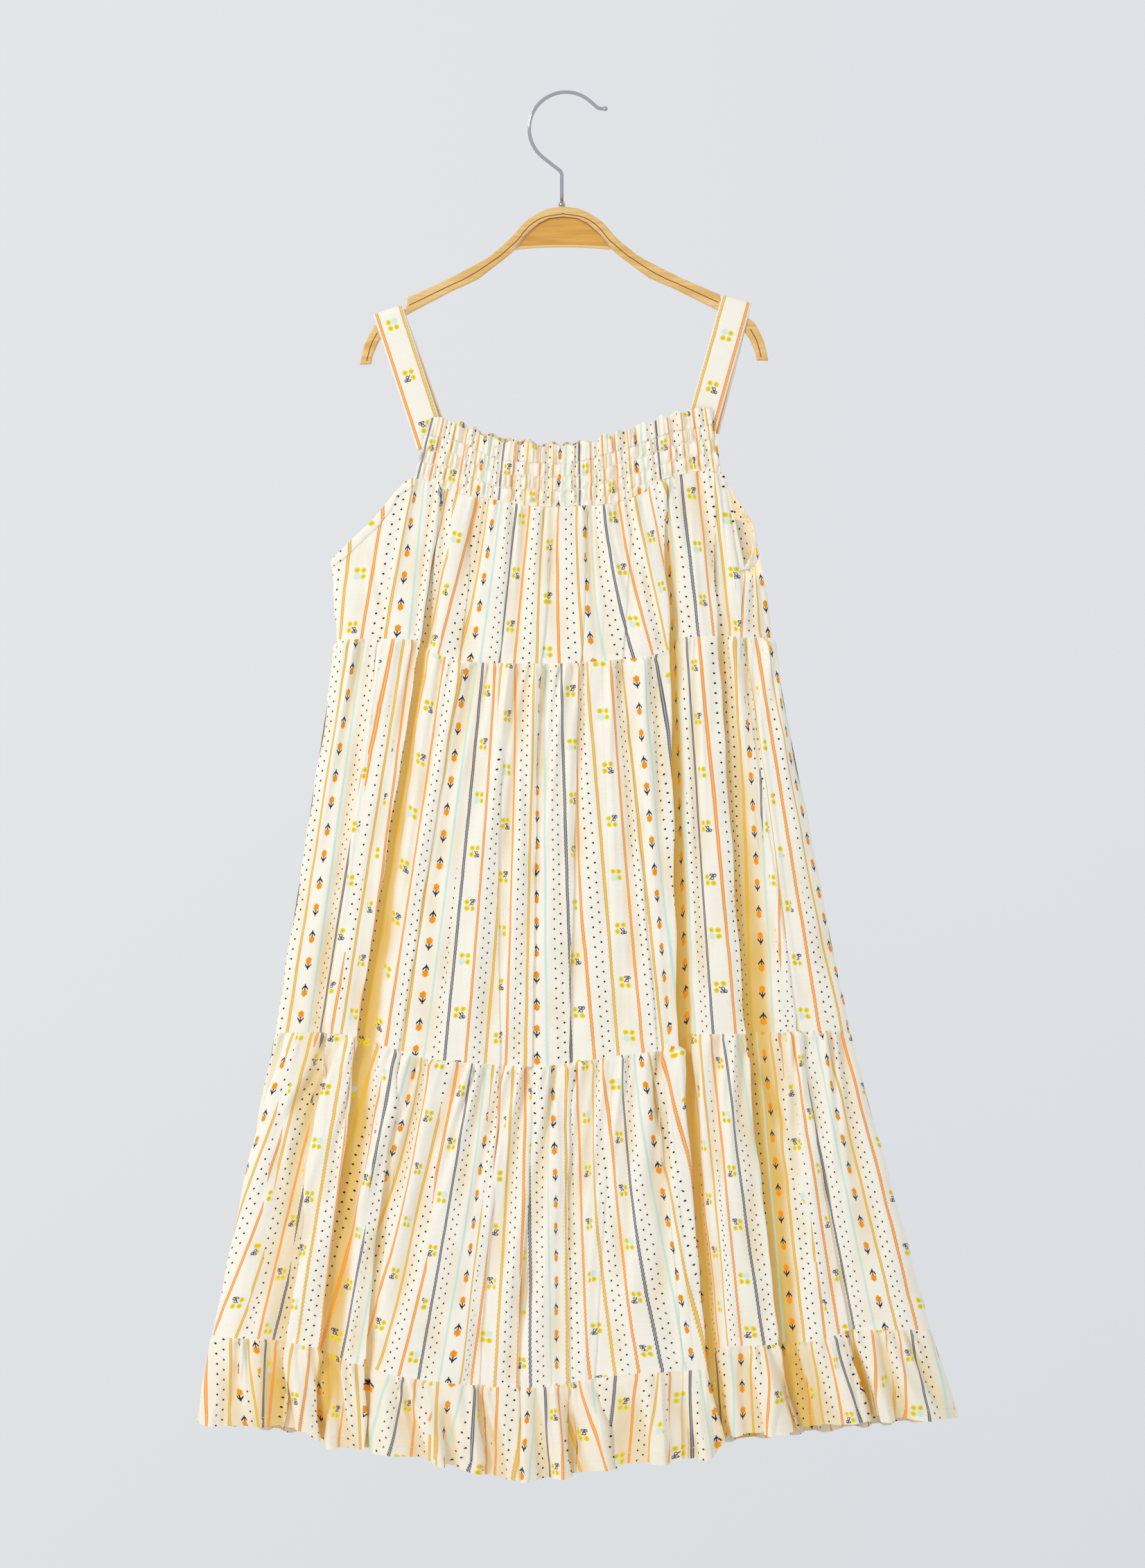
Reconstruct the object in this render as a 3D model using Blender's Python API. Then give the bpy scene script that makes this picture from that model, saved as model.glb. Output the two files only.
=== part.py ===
"""Tiered mini dress on a wooden hanger, hung by its hook.

Run with: blender --background --python part.py
Sizes are in millimetres until they reach Blender, which works in metres. +Z is up, the front
faces -Y, and the origin is the inside of the hook's top, where a rod carries it.
"""

import math

import bmesh
import bpy
import numpy as np
from mathutils import Vector

MM = 0.001

# Cloth
WALL = 1.2  # thickness of every cloth wall
SEAM_GAP = 0.3  # between sewn pieces
BINDING_WALL = 1.0
BINDING_WIDTH = 10.0
STRAP_WIDTH = 22.5
HEADING = 13.0  # frill above the yoke's first row of stitches
STITCH_ROW = 10.0  # from one row of stitches to the next
PUFF = 1.5  # how far the yoke puffs out between its stitches

# Waves of gathered cloth on each panel, front and back
WAVES = {"yoke": (18, 12), "bodice": (18, 14), "tier_2": (18, 14), "tier_3": (18, 14), "ruffle": (20, 16)}

# Hanger
BOW_THICK = 11.0
WEB_THICK = 7.0
WIRE_RADIUS = 1.35
HOOK_RADIUS = 26.8  # of the wire's centreline
COLLAR_RADIUS = 2.4
COLLAR_HEIGHT = 3.8

SEAMS = ("top", "seam_1", "seam_2", "seam_3", "hem")

# Left and right ends of the flattened dress at each seam, and how far its front and back
# stand from the middle plane.
GIRTH = (
    # seam, left, right, front depth, back depth
    ("top", -170.4, 141.7, 11.0, 10.5),
    ("seam_1", -166.9, 149.7, 17.0, 13.0),
    ("seam_2", -211.3, 206.3, 21.0, 16.0),
    ("seam_3", -257.3, 265.4, 24.0, 19.0),
    ("hem", -268.4, 285.1, 27.0, 22.0),
)

# Where each place on the front cloth comes to at each seam, from the left side seam to the right.
FRONT_X = (
    # place, share of the width, then x at the top, seam_1, seam_2, seam_3 and hem
    ("side_left", 0.000, -170.4, -166.9, -211.3, -257.3, -268.4),
    ("corner_left", 0.125, -110.8, -130.0, -170.9, -214.4, -224.5),
    ("inner_left", 0.216, -86.6, -103.3, -143.7, -177.5, -184.1),
    ("left_third", 0.302, -57.3, -78.0, -113.4, -137.1, -139.6),
    ("centre", 0.500, -18.9, -19.9, -32.6, -41.2, -41.2),
    ("right_third", 0.730, 25.5, 47.7, 44.7, 49.7, 51.3),
    ("inner_right", 0.835, 59.8, 78.5, 84.6, 106.8, 112.9),
    ("right_lobe", 0.895, 83.6, 96.2, 110.8, 132.1, 139.1),
    ("outer_right", 0.955, 101.3, 116.9, 144.2, 165.4, 173.5),
    ("corner_right", 0.980, 113.4, 122.0, 157.3, 188.6, 199.7),
    ("side_right", 1.000, 130.0, 127.0, 168.4, 207.8, 224.0),
)

# Height of each front seam at the same kind of places. The middle hangs lower than the sides.
FRONT_Z = (
    # place, share of the width, then z at the top, seam_1, seam_2, seam_3 and hem
    ("side_left", 0.000, -340.6, -398.6, -685.0, -905.7, -968.8),
    ("armhole_left", 0.050, -316.0, -398.3, -685.2, -907.5, -971.0),
    ("corner_left", 0.125, -281.5, -398.1, -685.5, -909.2, -972.8),
    ("lobe_left", 0.200, -286.0, -399.2, -688.5, -913.7, -973.8),
    ("panel_left", 0.235, -291.5, -407.7, -692.6, -920.3, -985.0),
    ("centre_left", 0.350, -297.6, -415.3, -704.2, -935.5, -992.0),
    ("centre", 0.520, -301.7, -416.3, -709.2, -943.0, -1010.2),
    ("centre_right", 0.730, -300.2, -412.3, -700.6, -932.4, -998.1),
    ("panel_right", 0.820, -292.6, -406.7, -696.6, -929.4, -993.0),
    ("lobe_right", 0.852, -283.0, -397.1, -686.0, -913.2, -978.9),
    ("outer_right", 0.955, -275.5, -396.1, -685.5, -911.2, -973.8),
    ("corner_right", 0.980, -277.4, -396.4, -684.9, -907.0, -970.0),
    ("side_right", 1.000, -347.6, -397.1, -683.5, -901.1, -965.8),
)

# The back's seams, from the right side seam round to the left one.
BACK_Z = (
    # place, share of the width, then z at seam_1, seam_2, seam_3 and hem
    ("side_right", 0.00, -397.1, -683.5, -901.1, -965.8),
    ("right_third", 0.30, -401.0, -690.0, -912.0, -985.0),
    ("centre", 0.52, -404.0, -694.0, -922.0, -1000.0),
    ("left_third", 0.78, -401.0, -689.0, -914.0, -984.0),
    ("side_left", 1.00, -398.6, -685.0, -905.7, -968.8),
)

# The back's top edge: up the right armhole, along the yoke and down the left armhole.
BACK_TOP = (
    # place, share of the width, x, z, y
    ("underarm_right", 0.000, 130.0, -347.6, -6.6),
    ("armhole_low", 0.030, 136.2, -334.0, -3.0),
    ("armhole_mid", 0.060, 137.2, -320.4, 0.5),
    ("armhole_high", 0.090, 132.1, -308.0, 3.6),
    ("armhole_top", 0.115, 124.5, -297.0, 6.0),
    ("corner_right", 0.140, 113.4, -281.0, 8.8),
    ("yoke_right", 0.230, 85.0, -281.0, 9.8),
    ("yoke_mid", 0.500, -5.0, -296.0, 10.5),
    ("yoke_left", 0.760, -80.0, -287.0, 9.9),
    ("corner_left", 0.860, -110.8, -281.5, 9.0),
    ("armhole_left", 0.935, -142.0, -316.0, 6.0),
    ("underarm_left", 1.000, -170.4, -340.6, 0.0),
)

# Upper edge of the yoke's heading.
YOKE_TOP = (
    # place, share of the yoke's width, x, z on the front, z on the back
    ("corner_left", 0.00, -99.2, -236.0, -236.0),
    ("left", 0.10, -79.0, -240.2, -239.0),
    ("left_third", 0.28, -44.0, -254.5, -249.0),
    ("centre", 0.47, -4.0, -257.2, -253.0),
    ("right_third", 0.70, 42.0, -246.0, -245.0),
    ("right", 0.88, 82.0, -233.0, -233.5),
    ("corner_right", 1.00, 106.3, -228.5, -229.5),
)
YOKE_TOP_DEPTH = (9.6, 9.3)  # front and back, from the middle plane

# Soft valleys that run down the cloth. Widths and depths are one for each seam from the top.
FRONT_VALLEYS = (
    # place, share of the width, half widths, depths, lean of the valley's floor to the left
    ("outer_left", 0.115, (10, 7, 12, 10, 9), (0, 4.5, 2.5, 4, 5), 0.2),
    ("inner_left", 0.218, (12, 5.5, 11, 9, 9), (0, 9.5, 5, 7, 6), 0.3),
    ("soft_left", 0.390, (12, 12, 12, 12, 11), (0, 2, 2.5, 2.5, 3), 0.0),
    ("soft_right", 0.620, (12, 12, 12, 12, 11), (0, 2, 2.5, 2.5, 3), 0.0),
    ("inner_right", 0.836, (12, 5.5, 6, 8, 8), (0, 10.5, 10, 10, 8), 0.3),
    ("outer_right", 0.952, (8, 8, 11, 10, 9), (0, 5.5, 8, 8, 7), 0.2),
)
BACK_VALLEYS = (
    ("right", 0.27, (12, 12, 14, 14, 12), (0, 3, 4, 5, 5), 0.0),
    ("middle", 0.52, (12, 12, 14, 14, 12), (0, 2.5, 4, 4.5, 5), 0.0),
    ("left", 0.77, (12, 12, 14, 14, 12), (0, 3, 4.5, 5, 5), 0.0),
)

# How high the gathers stand at a distance below the seam that gathers them.
GATHERS = (
    # distance, height
    (0.0, 0.5),
    (10.0, 1.5),
    (45.0, 1.3),
    (120.0, 0.8),
    (300.0, 0.5),
)
RUFFLE_WAVES = (
    (0.0, 0.6),
    (10.0, 1.9),
    (60.0, 4.6),
)

# Strap, as it runs from the front yoke over the hanger to the back yoke.
STRAP_PATH = (
    # place, distance down from the fold, y, shift towards the right
    ("front_end", 104.0, -8.0, 0.0),
    ("front_mid", 50.0, -7.0, 0.0),
    ("front_high", 10.0, -6.5, 0.0),
    ("front_turn", 3.6, -6.4, 0.0),
    ("front_corner", 0.9, -5.2, 0.0),
    ("crown_front", 0.0, -2.6, 0.0),
    ("crown_back", 0.0, 2.6, 0.0),
    ("back_corner", 0.9, 5.2, 0.0),
    ("back_turn", 3.6, 6.4, 0.1),
    ("back_high", 10.0, 6.5, 0.3),
    ("back_mid", 50.0, 7.0, 1.8),
    ("back_end", 104.0, 7.8, 3.0),
)
STRAPS = (
    # side, x and z of the fold's middle, x moved for each mm down, length of each leg
    ("left", -129.8, -158.4, 0.325, 104.0),
    ("right", 124.6, -150.8, -0.280, 98.0),
)

# Left half of the hanger's bow. The right half is its mirror, a little higher.
BOW_TOP_EDGE = (
    # x, z
    (-2.3, -82.3), (-13.4, -84.2), (-20.6, -87.3), (-27.0, -91.5), (-31.3, -94.8),
    (-35.1, -99.2), (-39.9, -104.9), (-44.8, -109.8), (-49.7, -113.8), (-55.4, -118.7),
    (-61.7, -122.6), (-85.8, -135.5), (-115.5, -149.1), (-116.9, -157.4), (-129.5, -161.8),
    (-140.2, -169.7), (-143.7, -175.8), (-147.4, -183.9), (-149.0, -190.6), (-150.4, -197.6),
)
BOW_LOW_EDGE = (
    # x, z
    (-2.3, -89.9), (-12.4, -91.2), (-19.9, -94.9), (-25.5, -99.7), (-30.6, -104.7),
    (-37.5, -114.0), (-44.8, -120.4), (-49.6, -124.0), (-64.1, -135.2), (-83.8, -144.3),
    (-100.7, -153.1), (-116.2, -161.3), (-128.0, -168.0), (-136.5, -180.5), (-140.9, -190.6),
    (-142.3, -197.3),
)
WEB_LOW = -112.0  # underside of the web in the middle
BOW_MIDDLE_X = -2.3
BOW_RIGHT_STRETCH = 1.012
BOW_RISE = 0.0195  # the right arm stands this much higher for each mm from the middle

COLOURS = {
    # material: colour, roughness, metallic
    "cotton_print": ((0.90, 0.84, 0.70), 0.85, 0.0),
    "birch": ((0.72, 0.50, 0.24), 0.45, 0.0),
    "birch_web": ((0.60, 0.37, 0.13), 0.45, 0.0),
    "chrome": ((0.80, 0.80, 0.82), 0.12, 1.0),
}


def smooth_through(xs, ys, x):
    """A smooth curve through the points that never overshoots between them."""
    xs, ys, x = np.asarray(xs, float), np.asarray(ys, float), np.asarray(x, float)
    h = np.diff(xs)
    d = np.diff(ys) / h
    m = np.zeros_like(ys)
    m[0], m[-1] = d[0], d[-1]
    for k in range(1, len(ys) - 1):
        if d[k - 1] * d[k] > 0:
            a, b = 2 * h[k] + h[k - 1], h[k] + 2 * h[k - 1]
            m[k] = (a + b) / (a / d[k - 1] + b / d[k])
    k = np.clip(np.searchsorted(xs, x) - 1, 0, len(h) - 1)
    t = np.clip((x - xs[k]) / h[k], 0, 1)
    return (
        (2 * t**3 - 3 * t**2 + 1) * ys[k]
        + (t**3 - 2 * t**2 + t) * h[k] * m[k]
        + (3 * t**2 - 2 * t**3) * ys[k + 1]
        + (t**3 - t**2) * h[k] * m[k + 1]
    )


def column(table, index):
    """One column of a table."""
    return [row[index] for row in table]


def unit(v):
    return v / np.maximum(np.linalg.norm(v, axis=-1, keepdims=True), 1e-9)


def girth(seam):
    """Middle x, half width, front depth and back depth of the dress at a seam."""
    _, left, right, front, back = GIRTH[seam]
    return (left + right) / 2, (right - left) / 2, front, back


OVAL = 3.0  # how square the flattened dress's section is


def depth_at(x, seam, back=False):
    """How far the cloth stands from the middle plane at x."""
    middle, half, front, rear = girth(seam)
    t = np.clip(np.abs((x - middle) / half), 0, 1)
    return (rear if back else front) * (1 - t**OVAL) ** (1 / OVAL)


def spread_columns(count, valleys, ends):
    """Shares of the width for the columns of points, closer together in valleys and at the ends."""
    u = np.linspace(0, 1, 2001)
    dense = np.ones_like(u)
    for _, at, _, depths, _ in valleys:
        dense += 0.16 * max(depths) * np.exp(-(((u - at) / 0.024) ** 2))
    for end in ends:
        dense += 3.0 * np.exp(-(((u - end) / 0.012) ** 2))
    total = np.concatenate([[0], np.cumsum((dense[1:] + dense[:-1]) / 2)])
    return np.interp(np.linspace(0, total[-1], count), total, u)


def front_seam(u, seam):
    """Points along a seam of the front."""
    share = column(FRONT_X, 1)
    x = smooth_through(share, column(FRONT_X, 2 + seam), u)
    z = smooth_through(column(FRONT_Z, 1), column(FRONT_Z, 2 + seam), u)
    return np.stack([x, -depth_at(x, seam), z], axis=-1)


def back_seam(w, seam):
    """Points along a seam of the back, from the right side seam to the left one."""
    if seam == 0:
        share = column(BACK_TOP, 1)
        x, z, y = (smooth_through(share, column(BACK_TOP, k), w) for k in (2, 3, 4))
        return np.stack([x, y, z], axis=-1)
    middle, half, front, rear = girth(seam)
    start = front_seam(np.array([1.0]), seam)[0]
    t = np.linspace(0, math.pi, 4001)
    xs = middle + half * np.sign(np.cos(t)) * np.abs(np.cos(t)) ** (2 / OVAL)
    ys = rear * np.sin(t) ** (2 / OVAL)
    lead = np.linspace(start[0], middle + half, 400)[:-1]
    xs = np.concatenate([lead, xs])
    ys = np.concatenate([-depth_at(lead, seam), ys])
    along = np.concatenate([[0], np.cumsum(np.hypot(np.diff(xs), np.diff(ys)))])
    along /= along[-1]
    x, y = np.interp(w, along, xs), np.interp(w, along, ys)
    z = smooth_through(column(BACK_Z, 1), column(BACK_Z, 1 + seam), w)
    return np.stack([x, y, z], axis=-1)


def row_shares(height, near, even):
    """For every column, the share of the height at each row: some at set distances, then even ones."""
    rows = [np.zeros_like(height)] + [d / height for d in near]
    last = rows[-1]
    rows += [last + (1 - last) * k / even for k in range(1, even + 1)]
    return np.stack(rows)


def gathers(u, waves, phase):
    """Uneven waves across the cloth, from -1 to 1."""
    drift = 0.30 * np.sin(2 * math.pi * (2.3 * u + phase)) + 0.18 * np.sin(2 * math.pi * (5.1 * u + 2 * phase))
    size = 0.8 + 0.2 * np.sin(2 * math.pi * (3.7 * u + 3 * phase))
    return size * np.sin(2 * math.pi * (waves * u + drift + phase))


def normals_of(points):
    """Outward direction of a sheet of points: rows run down and columns run round the dress."""
    down = np.gradient(points, axis=0)
    across = np.gradient(points, axis=1)
    return unit(np.cross(down, across))


def side_direction(seam_low, share, side):
    """Outward direction at a side seam, level, part way from the seam above to seam_low."""
    if side == "left":
        return np.array([-1.0, 0.0, 0.0])
    found = []
    for seam in (seam_low - 1, seam_low):
        middle, half, front, _ = girth(seam)
        x, y, _ = front_seam(np.array([1.0]), seam)[0]
        found.append(np.array([((x - middle) / half) ** 2 / half, -((y / front) ** 2) / front, 0.0]))
    return unit(unit(found[0]) * (1 - share) + unit(found[1]) * share)


def sheet_between(u, seam_low, seam_of, valleys, back, near, even, heights, waves, phase):
    """Mid-surface points and outward directions of a panel between two seams."""
    top, low = seam_of(u, seam_low - 1), seam_of(u, seam_low)
    height = np.maximum(top[:, 2] - low[:, 2], 1.0)
    v = row_shares(height, near, even)[..., None]
    points = top * (1 - v) + low * v
    inward = -1.0 if back else 1.0
    hollow = np.zeros(points.shape[:2])
    for _, at, widths, depths, lean in valleys:
        a, b = (seam_of(np.array([at]), s)[0, 0] for s in (seam_low - 1, seam_low))
        at_x = a * (1 - v[..., 0]) + b * v[..., 0]
        width = widths[seam_low - 1] * (1 - v[..., 0]) + widths[seam_low] * v[..., 0]
        depth = depths[seam_low - 1] * (1 - v[..., 0]) + depths[seam_low] * v[..., 0]
        dip = np.exp(-(((points[..., 0] - at_x) / width) ** 2))
        dip = dip * (np.abs(points[..., 1]) > 2.0)
        hollow = np.maximum(hollow, dip * np.minimum(depth / 5, 1))
        points[..., 1] += inward * depth * dip
        points[..., 0] -= lean * depth * dip
    flat = normals_of(points)
    ends = np.minimum(u, 1 - u) / 0.03
    calm = np.clip(ends, 0, 1) * (1 - 0.8 * hollow)
    distance = v[..., 0] * height
    rise = np.interp(distance, column(heights, 0), column(heights, 1))
    points = points + flat * (rise * calm * gathers(u, waves, phase))[..., None]
    out = normals_of(points)
    for row in (0, -1):
        out[row, :, 2] = 0.0
    out = unit(out)
    shares = v[:, 0, 0]
    for k, share in enumerate(shares):
        out[k, 0] = side_direction(seam_low, share, "right" if back else "left")
        out[k, -1] = side_direction(seam_low, share, "left" if back else "right")
    half_gap = SEAM_GAP / 2
    points[:, 0] += half_gap * unit(points[:, 1] - points[:, 0])
    points[:, -1] += half_gap * unit(points[:, -2] - points[:, -1])
    points[0, :, 2] -= half_gap
    points[-1, :, 2] += half_gap
    return points, out


def material(name):
    if name in bpy.data.materials:
        return bpy.data.materials[name]
    colour, roughness, metallic = COLOURS[name]
    made = bpy.data.materials.new(name)
    made.use_nodes = True
    shader = made.node_tree.nodes["Principled BSDF"]
    shader.inputs["Base Color"].default_value = (*colour, 1.0)
    shader.inputs["Roughness"].default_value = roughness
    shader.inputs["Metallic"].default_value = metallic
    made.diffuse_color = (*colour, 1.0)
    return made


def add_object(name, data, material_name, collection):
    made = bpy.data.objects.new(name, data)
    data.materials.append(material(material_name))
    collection.objects.link(made)
    return made


def add_wall(name, outer, inner, collection, material_name="cotton_print"):
    """A closed wall between two sheets of points with the same rows and columns."""
    rows, columns = outer.shape[:2]
    verts = np.concatenate([outer.reshape(-1, 3), inner.reshape(-1, 3)]) * MM
    count = rows * columns

    def at(row, col, layer):
        return layer * count + row * columns + col

    faces = []
    for r in range(rows - 1):
        for c in range(columns - 1):
            faces.append([at(r, c, 0), at(r + 1, c, 0), at(r + 1, c + 1, 0), at(r, c + 1, 0)])
            faces.append([at(r, c, 1), at(r, c + 1, 1), at(r + 1, c + 1, 1), at(r + 1, c, 1)])
    for r in range(rows - 1):
        faces.append([at(r, 0, 0), at(r, 0, 1), at(r + 1, 0, 1), at(r + 1, 0, 0)])
        faces.append([at(r, columns - 1, 0), at(r + 1, columns - 1, 0), at(r + 1, columns - 1, 1), at(r, columns - 1, 1)])
    for c in range(columns - 1):
        faces.append([at(0, c, 0), at(0, c + 1, 0), at(0, c + 1, 1), at(0, c, 1)])
        faces.append([at(rows - 1, c, 0), at(rows - 1, c, 1), at(rows - 1, c + 1, 1), at(rows - 1, c + 1, 0)])
    mesh = bpy.data.meshes.new(name)
    mesh.from_pydata([tuple(v) for v in verts], [], faces)
    shape = bmesh.new()
    shape.from_mesh(mesh)
    bmesh.ops.recalc_face_normals(shape, faces=shape.faces)
    shape.to_mesh(mesh)
    shape.free()
    return add_object(name, mesh, material_name, collection)


def panel(name, points, out, collection):
    add_wall(name, points + out * WALL / 2, points - out * WALL / 2, collection)


def binding(name, points, out, collection):
    """A strip that lies on the outside of a panel's edge, from the panel's own points."""
    near = WALL / 2 + SEAM_GAP
    add_wall(name, points + out * (near + BINDING_WALL), points + out * near, collection)


def yoke(name, u, seam_of, back, waves, collection):
    """A shirred yoke: plain inside, with puffs between rows of stitches outside."""
    low = seam_of(u, 0)
    share = (u - u[0]) / (u[-1] - u[0])
    if back:
        share = 1 - share
    at = column(YOKE_TOP, 1)
    x = smooth_through(at, column(YOKE_TOP, 2), share)
    z = smooth_through(at, column(YOKE_TOP, 4 if back else 3), share)
    middle, half, front, rear = girth(0)
    depth = YOKE_TOP_DEPTH[1 if back else 0]
    y = (1 if back else -1) * (depth + 0.8 * (1 - ((x - middle) / half) ** 2))
    top = np.stack([x, y, z], axis=-1)
    height = top[:, 2] - low[:, 2]
    distances = [0.0, HEADING / 2]
    step = STITCH_ROW / 2
    d = HEADING
    while d < height.min() - step * 0.7:
        distances.append(d)
        d += step
    rows = np.stack([np.full_like(height, d) / height for d in distances] + [np.ones_like(height)])[..., None]
    points = top * (1 - rows) + low * rows
    points[-1, :, 2] += SEAM_GAP / 2
    out = normals_of(points)
    out[-1, :, 2] = 0.0
    out = unit(out)
    puff = np.zeros(points.shape[:2])
    wave = 0.5 + 0.5 * gathers(u / (u[-1] - u[0]), waves, 0.35 if back else 0.1)
    for k, d in enumerate(distances):
        on_stitches = abs((d - HEADING) % STITCH_ROW) < 0.1 and d >= HEADING
        puff[k] = (0.15 if on_stitches else 1.0) * PUFF * wave
    puff[-1] = 0.1
    add_wall(name, points + out * (WALL / 2 + puff[..., None]), points - out * WALL / 2, collection)


def add_strap(side, x, z, slope, length, collection):
    """A flat band from the front yoke over the hanger's arm to the back yoke."""
    path = np.array([[row[1], row[2], row[3]] for row in STRAP_PATH], float)
    path[[0, -1], 0] = length
    chord = np.concatenate([[0], np.cumsum(np.linalg.norm(np.diff(path[:, :2], axis=0), axis=1))])
    turn = np.linspace(chord[3], chord[8], 13)
    stations = np.concatenate([np.linspace(0, chord[2], 7)[:-1], [chord[2]], turn, np.linspace(chord[9], chord[-1], 7)])
    down, y, shift = (smooth_through(chord, path[:, k], stations) for k in range(3))
    fall = unit(np.array([slope, 0.0, -1.0]))
    wide = np.array([-fall[2], 0.0, fall[0]])
    line = np.array([x, 0.0, z]) + down[:, None] * fall + np.stack([shift, y, np.zeros_like(y)], axis=-1)
    along = unit(np.gradient(line, axis=0))
    out = unit(np.cross(along, wide))
    out *= np.sign((out[:1] * np.array([0.0, -1.0, 0.0])).sum()) or 1.0
    across = np.linspace(-STRAP_WIDTH / 2, STRAP_WIDTH / 2, 4)
    points = line[:, None] + across[None, :, None] * wide
    out = np.repeat(out[:, None], len(across), axis=1)
    add_wall(f"strap_{side}", points + out * WALL / 2, points - out * WALL / 2, collection)


def both_sides(edge):
    """The left half's edge from its end to the middle, then the right half's out to its end."""
    left = [(x, z) for x, z in edge]
    right = [
        (BOW_MIDDLE_X + (BOW_MIDDLE_X - x) * BOW_RIGHT_STRETCH, z + BOW_RISE * (BOW_MIDDLE_X - x))
        for x, z in edge[1:]
    ]
    return left[::-1] + right


def add_plate(name, outline, thick, edge, material_name, collection):
    """A flat piece of wood in the XZ plane with rounded edges, from its outline."""
    curve = bpy.data.curves.new(name, "CURVE")
    curve.dimensions = "2D"
    curve.fill_mode = "BOTH"
    curve.extrude = (thick / 2 - edge) * MM
    curve.bevel_depth = edge * MM
    curve.bevel_resolution = 1
    curve.offset = -edge * MM
    spline = curve.splines.new("POLY")
    spline.points.add(len(outline) - 1)
    for point, (x, z) in zip(spline.points, outline):
        point.co = (x * MM, z * MM, 0.0, 1.0)
    spline.use_cyclic_u = True
    made = add_object(name, curve, material_name, collection)
    made.rotation_euler = (math.pi / 2, 0.0, 0.0)
    return made


def add_hook(collection):
    """The bent wire: stem, slanting shank, round hook and a turned-out tip."""
    points = [(-3.0, -77.9, 1.0), (-3.0, -70.0, 1.0), (-3.1, -60.0, 1.0), (-3.6, -57.0, 1.0), (-5.3, -54.9, 1.0)]
    points += [(-13.0, -48.7, 1.0)]
    for degrees in range(218, 48, -10):
        a = math.radians(degrees)
        points.append((HOOK_RADIUS * math.cos(a), HOOK_RADIUS * math.sin(a) + WIRE_RADIUS - HOOK_RADIUS, 1.0))
    points += [(20.6, -8.0, 1.0), (23.5, -10.2, 1.0), (26.0, -10.9, 1.1), (27.3, -11.0, 1.35), (29.4, -10.9, 1.35)]
    curve = bpy.data.curves.new("hook_wire", "CURVE")
    curve.dimensions = "3D"
    curve.bevel_depth = WIRE_RADIUS * MM
    curve.bevel_resolution = 2
    curve.use_fill_caps = True
    spline = curve.splines.new("POLY")
    spline.points.add(len(points) - 1)
    for point, (x, z, radius) in zip(spline.points, points):
        point.co = (x * MM, 0.0, z * MM, 1.0)
        point.radius = radius
    return add_object("hook_wire", curve, "chrome", collection)


def add_collar(collection):
    """The turned collar where the wire enters the wood."""
    base = BOW_TOP_EDGE[0][1] + SEAM_GAP
    profile = ((0.0, 0.0), (0.75, 0.0), (1.0, 0.3), (1.0, 0.7), (0.75, 1.0), (0.0, 1.0))
    shape = bmesh.new()
    ring = [shape.verts.new((r * COLLAR_RADIUS * MM, 0.0, h * COLLAR_HEIGHT * MM)) for r, h in profile]
    edges = [shape.edges.new(pair) for pair in zip(ring, ring[1:])]
    bmesh.ops.spin(
        shape, geom=ring + edges, cent=(0, 0, 0), axis=(0, 0, 1), angle=2 * math.pi, steps=20, use_duplicate=False
    )
    bmesh.ops.remove_doubles(shape, verts=shape.verts, dist=1e-6)
    bmesh.ops.recalc_face_normals(shape, faces=shape.faces)
    mesh = bpy.data.meshes.new("hook_collar")
    shape.to_mesh(mesh)
    shape.free()
    made = add_object("hook_collar", mesh, "chrome", collection)
    made.location = Vector((-3.0, 0.0, base)) * MM
    return made


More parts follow.
